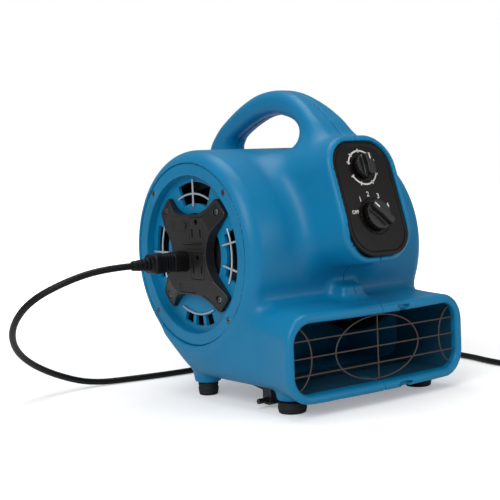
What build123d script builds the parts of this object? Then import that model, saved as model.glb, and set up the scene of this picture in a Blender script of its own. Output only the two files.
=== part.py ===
from build123d import *
import math
import os

# Compact centrifugal air mover: a horizontal drum housing with a low outlet nozzle in front,
# a control pod on its upper front, a carrying handle over the top, an inlet grille on the
# right side and a power panel on the left side.
#
# Frame: +Z up, -Y is the side the air leaves from, the fan axis runs along X.  Everything is
# laid out from the fan axis (y = 0, z = AXIS_Z above the floor) and moved at the end so that the
# origin is the middle of the footprint box, on the floor.  All sizes are millimetres.

os.makedirs("parts", exist_ok=True)

# ---------------------------------------------------------------- housing
AXIS_Z = 136.0            # fan axis above the floor
DRUM_R = 96.0             # outer radius of the drum
HALF_WIDTH = 107.0        # fan centre plane to each side face
RIM_ROUND = 15.0          # rounding of the drum's side rims
WALL = 3.0                # housing wall
LEDGE_T = 3.0             # thickness of the inner ledge rings
LEDGE_IN_R = 77.0
LUG_HALF = 14.0           # half length of the lugs round the lower seam screws
LUG_ROUND = 3.0
NECK_FRONT = 22.0         # neck lug: reach in front of and behind the duct's root
NECK_REAR = 10.0
NECK_RISE = 12.5          # and how far it stands above the duct
NECK_SUNK = 9.0

BASE_HALF = HALF_WIDTH - 5.0    # half width of the base under the drum
BASE_BOTTOM = 19.0        # underside of the base above the floor
BASE_TOP = 93.0           # top of the outlet duct at its root
BASE_CORNER = 20.0        # corner radius of the duct section
DUCT_ROOT_Y = -90.0       # where the duct starts to flare into the nozzle
BASE_REAR_Y = 12.0        # rear end of the flat underside

LIP_Y = -145.5            # front of the nozzle lip, in the middle
LIP_BOW = 4.5             # how far the lip's ends lie behind its middle
LIP_HALF = HALF_WIDTH + 1.0     # half width of the lip
LIP_BOTTOM = 9.5
LIP_TOP = 88.5
LIP_CORNER = 27.0
LIP_WALL = 9.3            # thickness of the rolled lip
LIP_ROUND = 5.0           # rounding of the lip's outer front edge
LENS_R = 22.0             # finger marks in the lip: arc radius and height
LENS_H = 3.6
LENS_X = 26.0

# ---------------------------------------------------------------- control pod
PANEL_TILT = 18.8         # the panel leans back by this angle, degrees
PANEL_Y = -134.0          # centre of the panel's face
PANEL_Z = 183.4
PANEL_HALF_W = 35.0
PANEL_HALF_H = 53.3
PANEL_CORNER = 25.0
PANEL_T = 3.0
PANEL_SUNK = 2.2          # the panel's face lies this far below the pod's rim
PANEL_BEVEL = 1.4
POD_RIM = 6.0             # width of the rim round the panel
POD_ROUND = 5.0           # rounding of the pod's front edge
POD_FLARE = 15.0          # how much wider the pod is where it runs into the drum, each side
POD_ROOT_Y = -60.0
POD_WALL = 6.0
PANEL_HOLE_HALF_W = 27.0  # opening in the pod behind the panel
PANEL_HOLE_HALF_H = 45.0
FIT_GAP = 0.3             # gap round pieces let into the housing

TIMER_V = 28.7            # timer knob above the panel's centre, along the panel
SPEED_V = -17.0           # speed knob
TIMER_KNOB_R = 11.0
TIMER_KNOB_H = 14.0
TIMER_GRIP_HALF = 4.5     # half width of the bar grip
TIMER_SKIRT = 6.0         # height of the round skirt
SPEED_KNOB_R = 14.0
SPEED_KNOB_H = 15.0
SPEED_GRIP_HALF = 4.2
SPEED_SKIRT = 6.5
KNOB_LIFT = 0.8           # gap between a knob's skirt and the panel
SPINDLE_R = 3.0
SPINDLE_CLEAR = 0.08      # running clearance of spindles and pivots, radial

# ---------------------------------------------------------------- handle
HANDLE_W = 28.0           # width of the grip
HANDLE_TOP_Z = 287.0
HANDLE_T = 23.0           # thickness of the grip at the top

# ---------------------------------------------------------------- left side
COVER_R = 84.2            # outer radius of the motor cover
COVER_FACE_X = 1.5 - HALF_WIDTH     # its outer ring band
DISH_R = 73.0             # recess of the cover
DISH_X = COVER_FACE_X + 8.5         # floor of the recess
COVER_T = 3.0
COVER_BORE_R = 38.0
WINDOW_IN_R = 47.0
WINDOW_OUT_R = 67.0
WINDOW_HALF_ANGLE = 23.0
WINDOW_MID_R = (WINDOW_IN_R + WINDOW_OUT_R) / 2
GUARD_WIRE = 2.0
GUARD_RING_R = 56.0
PANEL_BOX_FACE_X = -HALF_WIDTH
PANEL_BOX_WALL = 2.5
PANEL_BOX_HALF_Y = 27.0
PANEL_BOX_HALF_Z = 37.0
ARM_REACH = 64.0
ARM_W = 21.0
ARM_BLEND = 7.0           # rounding where an arm meets the box
ARM_TIP_ROUND = 4.0
ARM_SLOPE_IN_R = 44.0     # outside this radius the arms' faces slope down
ARM_SLOPE = 3.5           # radius gained for each millimetre of depth
ARM_SCREW_PCR = 56.0
ARM_SCREW_SEAT_X = PANEL_BOX_FACE_X + 6.5
PANEL_SCREW_LEN = 7.5
COVER_SCREW_PCR = 80.0
PANE_HALF_ANGLE = 5.5     # half width of the three small panes at the bottom
PANE_PITCH = 15.0
SOCKET_Y = -14.0          # outlet sockets in the power panel
OUTLET_SOCKET_Z = (126.0, 159.0)
SOCKET_W = 21.0
SOCKET_H = 24.0
SLOT_W = 1.9
SLOT_H = 7.5
SLOT_PITCH = 12.7
EARTH_R = 2.6
SOCKET_HOLE_DEPTH = 7.0
BREAKER_Y = 5.0
BREAKER_Z = 163.0
BREAKER_R = 7.5
BREAKER_NECK_R = 5.0
BREAKER_DEPTH = 9.0
BUTTON_R = 3.0
BUTTON_CLEAR = 0.05
BUTTON_FACE_X = PANEL_BOX_FACE_X - 1.0
BUTTON_TRAVEL = 0.9

# ---------------------------------------------------------------- right side
INLET_R = 81.0            # hole in the right side face
GRILLE_X = HALF_WIDTH - 13.0        # inner plane of the inlet grille
GRILLE_T = 2.6
GRILLE_RING_R = 79.0
GRILLE_MID_R = 35.0
GRILLE_HUB_R = 8.0
GRILLE_WIRE = 2.4
GRILLE_SPOKES = 36
GRILLE_SPOKE_W = 1.8
TAB_SCREW_PCR = 82.0
INLET_THROAT = 5.0
GRILLE_TAB_R = 86.0
TAB_W = 12.0
INLET_EYE_R = 57.0

# ---------------------------------------------------------------- outlet grille
OUTLET_Y = -138.0         # front of the outlet grille
OUTLET_WIRE = 2.3
OUTLET_WIRE_Z = (66.0, 51.0, 36.0)
OVAL_HALF_W = 50.5
OVAL_HALF_H = 28.5
OVAL_MIDDLE_Z = 50.5
END_OVAL_X = LIP_HALF - 8.0
END_OVAL_W = 22.0

# ---------------------------------------------------------------- motor and fan
SHAFT_R = 5.0
MOTOR_R = 42.0
MOTOR_X0 = COVER_FACE_X + 17.5      # motor from its rear bell to its front bell
MOTOR_X1 = MOTOR_X0 + 80.0
MOTOR_CAN_T = 2.5
MOTOR_BOLT_PCR = 34.0
MOTOR_BOLT_DEPTH = 7.0
CORE_X0 = MOTOR_X0 + 22.0           # laminated core of stator and rotor
CORE_X1 = CORE_X0 + 36.0
COIL_REACH = 9.0
ROTOR_R = 21.0
AIR_GAP = 0.5
BRACKET_T = 3.0
BRACKET_R = 87.5
BRACKET_WALL_R = 80.5
BRACKET_HOLE_R = 14.0
BRACKET_SCREW_PCR = 84.0
BELL_T = 9.0
BEARING_R = 13.0
BEARING_W = 7.0
BEARING_CLEAR = 0.04
WHEEL_R = 72.0
WHEEL_EYE_R = 61.0
LEFT_RING_X = MOTOR_X0 + 8.0        # inlet ring on the motor side
WHEEL_X0 = LEFT_RING_X + 8.0
WHEEL_X1 = GRILLE_X - 12.0
WHEEL_DISC_X = MOTOR_X1 + 14.0
WHEEL_BLADES = 40
BLADE_T = 1.4
DISC_T = 2.0
HUB_R = 12.0
HUB_LEN = 18.0
HUB_BOLT_R = 22.0

TIMER_BODY = (17.0, 14.0, 22.0)   # half width, half height and depth behind the panel
SPEED_BODY = (15.0, 12.0, 20.0)
SPINDLE_IN = 18.0
SPEED_GRIP_TURN = 45.0
CAPACITOR_U = 17.0
CAPACITOR_V = 5.0
CAPACITOR_R = 8.5
CAPACITOR_LEN = 35.0

# ---------------------------------------------------------------- feet and kickstand
FRONT_FOOT = (BASE_HALF - 24.0, -108.5)
FRONT_FOOT_R = 12.8
FRONT_FOOT_H = 10.0
REAR_FOOT = (BASE_HALF - 22.0, 15.0)
REAR_FOOT_R = 9.6
REAR_FOOT_H = 12.0
REAR_BOSS_TOP = 41.0
STAND_WIRE_R = 2.4
STAND_PIVOT_Y = -78.0
STAND_PIVOT_Z = 7.2
STAND_END_X = BASE_HALF - 12.4
CLIP_X = STAND_END_X - 21.6
CLIP_W = 14.0
STAND_LEG_X = CLIP_X - 6.0
CLIP_HALF = 6.0
STAND_BAR_Y = -28.0
STAND_BAR_Z = 14.6

# ---------------------------------------------------------------- screws
SCREW_R = 2.0
SCREW_HEAD_R = 3.8
SCREW_HEAD_H = 2.6
SCREW_BOSS_R = 6.5
SCREW_SLOT = 1.0
BOLT_HEAD_H = 2.4
SMALL_SCREW_R = 1.5
SMALL_HEAD_R = 2.9
SMALL_HEAD_H = 1.8
FOOT_SCREW_SEAT = 5.0

# ---------------------------------------------------------------- lead
LEAD_Y = 11.0             # the lead leaves the power panel here
LEAD_Z = 129.5
LEAD_R = 3.1
GLAND_W = 22.0
GLAND_H = 18.0
GLAND_END_X = PANEL_BOX_FACE_X - 35.0
TAIL_LEN = 18.0             # ribbed tail of the strain relief
LEAD_START_X = GLAND_END_X - TAIL_LEN
TAIL_R = 4.8
TAIL_RIBS = 4
COIL_AT = (268.0, -200.0)   # centre of the put-away coil on the floor
COIL_R = 37.0               # to the middle of its turns
COIL_W = 25.4               # four turns side by side
COIL_H = 12.6               # two layers
COIL_CORNER = 3.1
COIL_TURNS = 8.25
TIE_T = 0.9
TIE_W = 9.0
PLUG_LEN = 40.0
PLUG_NECK = 14.0            # round neck of the plug, part of its length
PLUG_CORNER = 5.0
PLUG_W = 25.0
PLUG_H = 22.0
PIN_LEN = 17.0
PIN_T = 1.5
PIN_W = 6.3
PIN_OUT = 3.0               # blades lie this far below the plug's middle
EARTH_PIN_R = 2.4
EARTH_PIN_OUT = 6.5
EARTH_PIN_EXTRA = 3.0

pieces = {}


def keep(name, shape):
    """Put a finished piece on the list under its node name."""
    pieces[name] = shape


def x_cylinder(radius, x0, x1, y=0.0, z=AXIS_Z):
    """Cylinder along X from x0 to x1."""
    return Pos((x0 + x1) / 2, y, z) * Rot(0, 90, 0) * Cylinder(radius, abs(x1 - x0))


def x_tube(outer, inner, x0, x1, y=0.0, z=AXIS_Z):
    """Hollow cylinder along X."""
    return x_cylinder(outer, x0, x1, y, z) - x_cylinder(inner, x0 - 1, x1 + 1, y, z)


def z_cylinder(radius, z0, z1, x, y):
    """Upright cylinder from z0 to z1."""
    return Pos(x, y, (z0 + z1) / 2) * Cylinder(radius, abs(z1 - z0))


def side_plane(x):
    """Plane across the fan axis at x: local x is +Y, local y is +Z, origin on the axis."""
    return Plane(origin=(x, 0, AXIS_Z), x_dir=(0, 1, 0), z_dir=(1, 0, 0))


def front_plane(y, z=0.0):
    """Upright plane facing -Y: local x is +X, local y is +Z."""
    return Plane(origin=(0, y, z), x_dir=(1, 0, 0), z_dir=(0, -1, 0))


def panel_plane(out=0.0):
    """Plane of the control panel's face, moved outwards by out: local y runs up the panel."""
    tilt = math.radians(PANEL_TILT)
    normal = Vector(0, -math.cos(tilt), math.sin(tilt))
    origin = Vector(0, PANEL_Y, PANEL_Z) + normal * out
    return Plane(origin=origin, x_dir=(1, 0, 0), z_dir=normal)


def box_between(low, high):
    """Axis-aligned box from its low corner to its high corner."""
    size = [h - l for l, h in zip(low, high)]
    middle = [(h + l) / 2 for l, h in zip(low, high)]
    return Pos(*middle) * Box(*size)


# ================================================================ housing shells
def duct_section(y, half_w, bottom, top, corner):
    """Rounded rectangle across the outlet duct."""
    plane = front_plane(y, (bottom + top) / 2)
    return plane * RectangleRounded(2 * half_w, top - bottom, corner)


def lip_cutter(setback):
    """Upright cylinder whose front gives the nozzle lip its shallow forward bow."""
    radius = LIP_HALF ** 2 / (2 * LIP_BOW)
    return Pos(0, LIP_Y + setback + radius, AXIS_Z) * Cylinder(radius, 4 * AXIS_Z)


def drum_block(inset):
    """Drum with rounded rims, smaller by inset all round."""
    reach = HALF_WIDTH - inset
    block = x_cylinder(DRUM_R - inset, -reach, reach)
    return fillet(block.edges().filter_by(GeomType.CIRCLE), RIM_ROUND - inset)


def base_block(inset):
    """Base and straight duct under the drum, its rear end sloping up into the drum."""
    corner = BASE_CORNER - inset
    duct = extrude(
        duct_section(DRUM_R, BASE_HALF - inset, BASE_BOTTOM + inset, BASE_TOP - inset, corner),
        DRUM_R - DUCT_ROOT_Y,
    )
    rear_low = BASE_REAR_Y - inset
    slope_top = (rear_low + 34.0, BASE_BOTTOM + inset + 40.0)
    side = Plane.YZ * Polygon(
        (DUCT_ROOT_Y - 40, 0), (rear_low, 0), (rear_low, BASE_BOTTOM + inset), slope_top,
        (rear_low + 34.0, AXIS_Z), (DUCT_ROOT_Y - 40, AXIS_Z), align=None,
    )
    return duct & extrude(side, BASE_HALF + 5, both=True)


def nozzle_block():
    """Flared outer form of the nozzle with its bowed, rounded lip."""
    middle_y = (DUCT_ROOT_Y + LIP_Y) / 2
    flare = loft([
        duct_section(DUCT_ROOT_Y, BASE_HALF, BASE_BOTTOM, BASE_TOP, BASE_CORNER),
        duct_section(middle_y, BASE_HALF + 1.5, BASE_BOTTOM - 4, BASE_TOP - 2.5, BASE_CORNER + 3),
        duct_section(LIP_Y - 2, LIP_HALF + 1.7, LIP_BOTTOM - 0.4, LIP_TOP + 0.4, LIP_CORNER),
    ])
    flare = flare & lip_cutter(0)
    return fillet(flare.faces().sort_by(Axis.Y)[0].edges(), LIP_ROUND)


def nozzle_hollow():
    """Air passage from the drum to the mouth, rounded where it meets the lip."""
    mouth = duct_section(
        LIP_Y - 2, LIP_HALF - LIP_WALL, LIP_BOTTOM + LIP_WALL, LIP_TOP - LIP_WALL,
        LIP_CORNER - LIP_WALL,
    )
    throat_y = DUCT_ROOT_Y
    throat = duct_section(
        throat_y, BASE_HALF - WALL, BASE_BOTTOM + WALL, BASE_TOP - WALL, BASE_CORNER - WALL,
    )
    return loft([throat, mouth])


def pod_block(inset, wall):
    """Control pod: an oblong block leaning back and flaring where it runs into the drum."""
    face_w = PANEL_HALF_W + POD_RIM - inset
    face_h = PANEL_HALF_H + POD_RIM - inset
    corner = PANEL_CORNER + POD_RIM - inset
    front = panel_plane(PANEL_SUNK - wall) * RectangleRounded(2 * face_w, 2 * face_h, corner)
    waist_plane = Plane(origin=(0, (PANEL_Y + POD_ROOT_Y) / 2 - 8, PANEL_Z - 4), x_dir=(1, 0, 0),
                        z_dir=(0, -math.cos(math.radians(9)), math.sin(math.radians(9))))
    waist = waist_plane * RectangleRounded(2 * face_w + 5, 2 * face_h - 2, corner)
    root_w = 2 * (face_w + POD_FLARE)
    root = front_plane(POD_ROOT_Y, PANEL_Z - 11) * RectangleRounded(root_w, 2 * face_h - 4, corner)
    return loft([root, waist, front])


# Handle sections from the rear foot over the top to the front foot:
# y and z of the outer edge, y and z of the inner edge, and the width.
HANDLE_SECTIONS = (
    (97.0, 158.0, 58.0, 158.0, 36.0),
    (101.0, 190.0, 59.0, 190.0, 34.0),
    (100.5, 216.0, 60.0, 214.0, 32.0),
    (93.0, 239.0, 61.0, 231.0, 30.0),
    (80.0, 252.5, 58.0, 240.0, 29.0),
    (65.0, 263.0, 52.0, 245.5, HANDLE_W),
    (42.0, 275.0, 33.0, 254.5, HANDLE_W),
    (15.0, 284.5, 11.0, 261.8, HANDLE_W),
    (-12.0, HANDLE_TOP_Z, -11.0, HANDLE_TOP_Z - HANDLE_T, HANDLE_W),
    (-35.0, 283.5, -30.0, 261.0, 30.0),
    (-55.0, 275.0, -48.0, 255.5, 34.0),
    (-73.0, 263.0, -58.0, 248.0, 41.0),
    (-91.0, 247.0, -60.0, 237.0, 51.0),
    (-104.0, 224.0, -62.0, 214.0, 62.0),
)


def handle_bar():
    """Carrying handle: one bar of changing section arching from the drum's back to the pod."""
    sections = []
    for outer_y, outer_z, inner_y, inner_z, width in HANDLE_SECTIONS:
        across = Vector(0, outer_y - inner_y, outer_z - inner_z)
        middle = Vector(0, (outer_y + inner_y) / 2, (outer_z + inner_z) / 2)
        plane = Plane(origin=middle, x_dir=(1, 0, 0), z_dir=across.cross(Vector(1, 0, 0)))
        corner = 0.42 * min(across.length, width)
        sections.append(plane * RectangleRounded(width, across.length, corner))
    return loft(sections, ruled=True)


def foot_bosses():
    """Short bosses under the housing that carry the rubber feet."""
    bosses = []
    for side in (-1, 1):
        x, y = side * FRONT_FOOT[0], FRONT_FOOT[1]
        bosses.append(z_cylinder(FRONT_FOOT_R + 1.0, FRONT_FOOT_H, BASE_BOTTOM + WALL, x, y))
        x, y = side * REAR_FOOT[0], REAR_FOOT[1]
        height = REAR_BOSS_TOP - REAR_FOOT_H
        cone = Cone(REAR_FOOT_R + 2.5, REAR_FOOT_R + 7.5, height)
        bosses.append(Pos(x, y, REAR_FOOT_H + height / 2) * cone)
    return bosses


# Seam screws that hold the two shells together: y, z and the x of the head's seat.
SEAM_SCREWS = (
    (-80.0, 243.0, 16.0),
    (74.0, 222.0, 9.0),
    (-99.0, 98.0, 8.0),
    (76.0, 74.0, 9.0),
)
SEAM_TIP_X = -13.0


def seam_lugs():
    """Raised blocks at the neck and low on the back, round the two lower seam screws."""
    low = (-LUG_HALF, DUCT_ROOT_Y - NECK_FRONT, BASE_TOP - NECK_SUNK)
    neck = box_between(low, (LUG_HALF, DUCT_ROOT_Y + NECK_REAR, BASE_TOP + NECK_RISE))
    neck = fillet(neck.edges().filter_by(Axis.Z) + neck.faces().sort_by(Axis.Z)[-1].edges(), LUG_ROUND)
    y, z, _ = SEAM_SCREWS[3]
    back = x_cylinder(SCREW_BOSS_R + 2.5, -LUG_HALF, LUG_HALF, y, z)
    return [neck, fillet(back.edges().filter_by(GeomType.CIRCLE), 2)]


def inlet_tab_angles():
    """Directions of the inlet grille's three tabs, measured from +Y towards +Z."""
    return [90, -30, -150]


def seam_screw_set():
    """The seam screws, heads outwards on the right side."""
    screws = []
    for y, z, seat in SEAM_SCREWS:
        screws.append(x_screw(seat, SEAM_TIP_X, y, z, SCREW_R, SCREW_HEAD_R, SCREW_HEAD_H))
    return screws


def x_screw(seat_x, tip_x, y, z, radius, head_r, head_h):
    """Pan-head screw along X; its head sits on seat_x, its tip is at tip_x."""
    out = 1 if seat_x > tip_x else -1
    head = x_cylinder(head_r, seat_x, seat_x + out * head_h, y, z)
    head = fillet(head.faces().sort_by(Axis.X)[-1 if out > 0 else 0].edges(), head_h * 0.4)
    slot = Pos(seat_x + out * head_h, y, z) * Box(head_h, head_r, SCREW_SLOT)
    cross = Pos(seat_x + out * head_h, y, z) * Box(head_h, SCREW_SLOT, head_r)
    return head - slot - cross + x_cylinder(radius, tip_x, seat_x, y, z)


def half(shape, side):
    """The part of a shape on one side of the middle plane."""
    far = 4 * HALF_WIDTH
    return shape & box_between((min(0, side * far), -far, -far), (max(0, side * far), far, far))


def build_shell(side):
    """One of the two shells that meet at the middle plane: side -1 is left, 1 is right."""
    pod = pod_block(0, 0)
    pod = fillet(pod.faces().sort_by(Axis.Y)[0].edges(), POD_ROUND)
    outer = half(drum_block(0), side)
    for block in [base_block(0), nozzle_block(), pod, handle_bar()] + seam_lugs() + foot_bosses():
        outer = outer + half(block, side)

    shell = outer
    for hollow in (drum_block(WALL), base_block(WALL), nozzle_hollow()):
        shell = shell - half(hollow, side)
    shell = shell - (half(pod_block(POD_WALL, POD_WALL), side) - drum_block(0))

    # left side: hole for the motor cover and the ledge ring it is screwed to
    ledge_x = COVER_FACE_X + COVER_T
    left_ledge = x_tube(DRUM_R - 4.5, LEDGE_IN_R, ledge_x, ledge_x + LEDGE_T)
    shell = shell - x_cylinder(COVER_R + FIT_GAP, -HALF_WIDTH - 5, ledge_x)
    if side < 0:
        shell = shell + (left_ledge & drum_block(1))

    # right side: deep round recess for the inlet grille, its ledge, and three tab notches
    recess_wall = x_tube(INLET_R + WALL, INLET_R, GRILLE_X - LEDGE_T, HALF_WIDTH - 2)
    right_ledge = x_tube(DRUM_R - 3.5, LEDGE_IN_R - 4, GRILLE_X - LEDGE_T, GRILLE_X)
    shell = shell - x_cylinder(INLET_R, GRILLE_X, HALF_WIDTH + 5)
    if side > 0:
        shell = shell + ((recess_wall + right_ledge) & drum_block(1))
    for angle in inlet_tab_angles():
        half_notch = TAB_W / 2 + 1
        notch = box_between((GRILLE_X, 0, -half_notch), (HALF_WIDTH + 5, GRILLE_TAB_R + 1, half_notch))
        shell = shell - Pos(0, 0, AXIS_Z) * Rot(angle, 0, 0) * notch

    # pod: sunk seat for the control panel and the opening behind it
    seat = extrude(
        panel_plane(PANEL_SUNK + 5) * RectangleRounded(
            2 * (PANEL_HALF_W + FIT_GAP), 2 * (PANEL_HALF_H + FIT_GAP), PANEL_CORNER),
        -(PANEL_SUNK + 5 + PANEL_T),
    )
    behind = extrude(
        panel_plane(0) * RectangleRounded(2 * PANEL_HOLE_HALF_W, 2 * PANEL_HOLE_HALF_H, 14),
        -(POD_WALL + 6),
    )
    shell = shell - seat - behind

    # pockets and holes for the seam screws and the foot screws
    for y, z, seat_x in SEAM_SCREWS:
        shell = shell - x_cylinder(SCREW_HEAD_R + 0.8, seat_x, seat_x + 40, y, z)
        shell = shell - x_cylinder(SCREW_R, SEAM_TIP_X, seat_x + 1, y, z)
    for x, y, top in foot_screw_places():
        shell = shell - z_cylinder(SCREW_R, 1, top, x, y)

    # shallow lens-shaped finger marks in the face of the lip
    for z in (LIP_TOP - LIP_WALL / 2, LIP_BOTTOM + LIP_WALL / 2):
        lens = front_plane(LIP_Y - 2, z) * (
            Pos(LENS_X, LENS_R - LENS_H / 2) * Circle(LENS_R)
            & Pos(LENS_X, LENS_H / 2 - LENS_R) * Circle(LENS_R)
        )
        shell = shell - extrude(lens, -6)
    return shell


def foot_screw_places():
    """x, y and upper end of the four foot screws."""
    places = []
    for side in (-1, 1):
        places.append((side * FRONT_FOOT[0], FRONT_FOOT[1], BASE_BOTTOM + WALL - 1))
        places.append((side * REAR_FOOT[0], REAR_FOOT[1], REAR_FOOT_H + 12))
    return places


keep("left_shell", build_shell(-1))
keep("right_shell", build_shell(1))


# ================================================================ motor side, left
def ring_at(radius, angle, x):
    """Point on a circle round the fan axis; the angle runs from +Y towards +Z."""
    turn = math.radians(angle)
    return (x, radius * math.cos(turn), AXIS_Z + radius * math.sin(turn))


def sector(inner, outer, middle, half_angle):
    """Flat ring sector about the origin, its middle direction given in degrees."""
    reach = 2 * outer * math.cos(math.radians(half_angle))
    rise = 2 * outer * math.sin(math.radians(half_angle))
    wedge = Polygon((0, 0), (reach, -rise), (reach, rise), align=None)
    return Rot(0, 0, middle) * ((Circle(outer) - Circle(inner)) & wedge)


def on_side(sketch, x, depth):
    """A flat outline in the side plane, given a thickness from x towards +X."""
    return extrude(side_plane(x) * sketch, depth)


COVER_SCREW_ANGLES = (45, 135, 225, 315)
ledge_left_x = COVER_FACE_X + COVER_T
bracket_x = ledge_left_x + LEDGE_T
plate_x = MOTOR_X0 - BRACKET_T


def cover_windows():
    """Air windows in the cover's floor: three tall ones and three small panes at the bottom."""
    windows = Sketch() + [sector(WINDOW_IN_R, WINDOW_OUT_R, a, WINDOW_HALF_ANGLE) for a in (0, 90, 180)]
    pane = sector(GUARD_RING_R + 1.5, WINDOW_OUT_R, 0, PANE_HALF_ANGLE)
    for turn in (-1, 0, 1):
        windows = windows + Rot(0, 0, -90 + turn * PANE_PITCH) * pane
    return windows


def motor_cover():
    """Round dished cover that closes the left side and carries the power panel."""
    dish_back = DISH_X + COVER_T
    cover = x_tube(COVER_R, DISH_R, COVER_FACE_X, ledge_left_x)
    cover = cover + x_tube(DISH_R + COVER_T, DISH_R, COVER_FACE_X, dish_back)
    cover = cover + x_tube(DISH_R + COVER_T, COVER_BORE_R, DISH_X, dish_back)
    cover = cover - on_side(cover_windows(), DISH_X - 1, COVER_T + 2)
    rim = cover.edges().filter_by(GeomType.CIRCLE).group_by(Axis.X)[0]
    cover = fillet(rim, 1.2)
    for y, z in panel_screw_places():
        cover = cover - x_cylinder(SMALL_SCREW_R, DISH_X - 1, dish_back + 1, y, z)
    for angle in COVER_SCREW_ANGLES:
        x, y, z = ring_at(COVER_SCREW_PCR, angle, COVER_FACE_X)
        cover = cover - x_cylinder(SMALL_HEAD_R + 0.2, x - 1, x + SMALL_HEAD_H, y, z)
        cover = cover - x_cylinder(SMALL_SCREW_R, x - 1, ledge_left_x + 1, y, z)
    return cover


def panel_screw_places():
    """y and z of the four screws in the arms of the power panel."""
    return [ring_at(ARM_SCREW_PCR, angle, 0)[1:] for angle in COVER_SCREW_ANGLES]


def window_guards():
    """Wire crosses lying over the air windows."""
    half_wire = GUARD_WIRE / 2
    wires = Sketch()
    for middle, radials in ((0, (0,)), (90, (0,)), (180, (-12, 12)), (270, ())):
        span = WINDOW_HALF_ANGLE + 3
        wires = wires + sector(GUARD_RING_R - half_wire, GUARD_RING_R + half_wire, middle, span)
        for offset in radials:
            spoke = Pos(WINDOW_MID_R, 0) * Rectangle(WINDOW_OUT_R - WINDOW_IN_R + 6, GUARD_WIRE)
            wires = wires + Rot(0, 0, middle + offset) * spoke
    return on_side(wires, DISH_X - GUARD_WIRE, GUARD_WIRE)


def power_panel():
    """X-shaped box over the motor's bore that holds the outlets, the breaker and the lead."""
    bar = Rectangle(2 * ARM_REACH, ARM_W)
    outline = Rectangle(2 * PANEL_BOX_HALF_Y, 2 * PANEL_BOX_HALF_Z)
    outline = outline + Rot(0, 0, 45) * bar + Rot(0, 0, -45) * bar
    inside = [v for v in outline.vertices() if Vector(v.X, v.Y, 0).length < ARM_REACH - 5]
    outline = fillet(inside, ARM_BLEND)
    tips = [v for v in outline.vertices() if Vector(v.X, v.Y, 0).length >= ARM_REACH - 5]
    outline = fillet(tips, ARM_TIP_ROUND)
    depth = DISH_X - PANEL_BOX_FACE_X
    body = on_side(outline, PANEL_BOX_FACE_X, depth)
    slope = Cone(ARM_SLOPE_IN_R + depth * ARM_SLOPE, ARM_SLOPE_IN_R, depth)
    body = body & (Pos(PANEL_BOX_FACE_X + depth / 2, 0, AXIS_Z) * Rot(0, -90, 0) * slope)
    room_half = (PANEL_BOX_HALF_Y - PANEL_BOX_WALL, PANEL_BOX_HALF_Z - PANEL_BOX_WALL)
    room = Rectangle(2 * room_half[0], 2 * room_half[1])
    body = body - on_side(room, PANEL_BOX_FACE_X + PANEL_BOX_WALL, depth)
    for y, z in panel_screw_places():
        body = body - x_cylinder(SMALL_HEAD_R + 0.4, PANEL_BOX_FACE_X - 1, ARM_SCREW_SEAT_X, y, z)
        body = body - x_cylinder(SMALL_SCREW_R, ARM_SCREW_SEAT_X - 1, DISH_X + 1, y, z)
    for z in OUTLET_SOCKET_Z:
        body = body - socket_outline(z, 0)
    body = body - x_cylinder(BREAKER_NECK_R, PANEL_BOX_FACE_X - 1, DISH_X, BREAKER_Y, BREAKER_Z)
    body = body - gland_block(0, PANEL_BOX_FACE_X - 1, PANEL_BOX_FACE_X + PANEL_BOX_WALL + 1)
    return body


def socket_outline(z, inset):
    """Block the size of one outlet socket, through the panel's face."""
    shape = Pos(SOCKET_Y, z - AXIS_Z) * RectangleRounded(SOCKET_W - 2 * inset, SOCKET_H - 2 * inset, 3)
    return on_side(shape, PANEL_BOX_FACE_X, DISH_X - PANEL_BOX_FACE_X - 0.2)


def outlet_socket(z):
    """One earthed outlet socket: two blade slots and the earth hole above them."""
    holes = Sketch()
    for side in (-1, 1):
        holes = holes + Pos(side * SLOT_PITCH / 2, -3.0) * Rectangle(SLOT_W, SLOT_H)
    holes = holes + Pos(0, 7.5) * Circle(EARTH_R)
    body = socket_outline(z, 0)
    return body - on_side(Pos(SOCKET_Y, z - AXIS_Z) * holes, PANEL_BOX_FACE_X - 1, SOCKET_HOLE_DEPTH + 1)


def gland_block(grow, x0, x1):
    """Rounded block about the lead's axis, from x0 to x1."""
    shape = Pos(LEAD_Y, LEAD_Z - AXIS_Z) * RectangleRounded(GLAND_W + 2 * grow, GLAND_H + 2 * grow, 5 + grow)
    return on_side(shape, x0, x1 - x0)


def lead_gland():
    """Moulded strain relief of the lead: clamped flange, thick grip and ribbed tail."""
    inside_x = PANEL_BOX_FACE_X + PANEL_BOX_WALL
    gland = gland_block(0, GLAND_END_X, inside_x) + gland_block(2.0, inside_x, inside_x + 2.5)
    tail = x_cylinder(TAIL_R, LEAD_START_X, GLAND_END_X, LEAD_Y, LEAD_Z)
    gland = fillet(gland.edges().group_by(Axis.X)[0], 3.0) + tail
    for step in range(TAIL_RIBS):
        x = GLAND_END_X - 2.2 - step * 4.0
        gland = gland + x_cylinder(TAIL_R + 1.6, x - 1.0, x + 1.0, LEAD_Y, LEAD_Z)
    return gland


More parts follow.
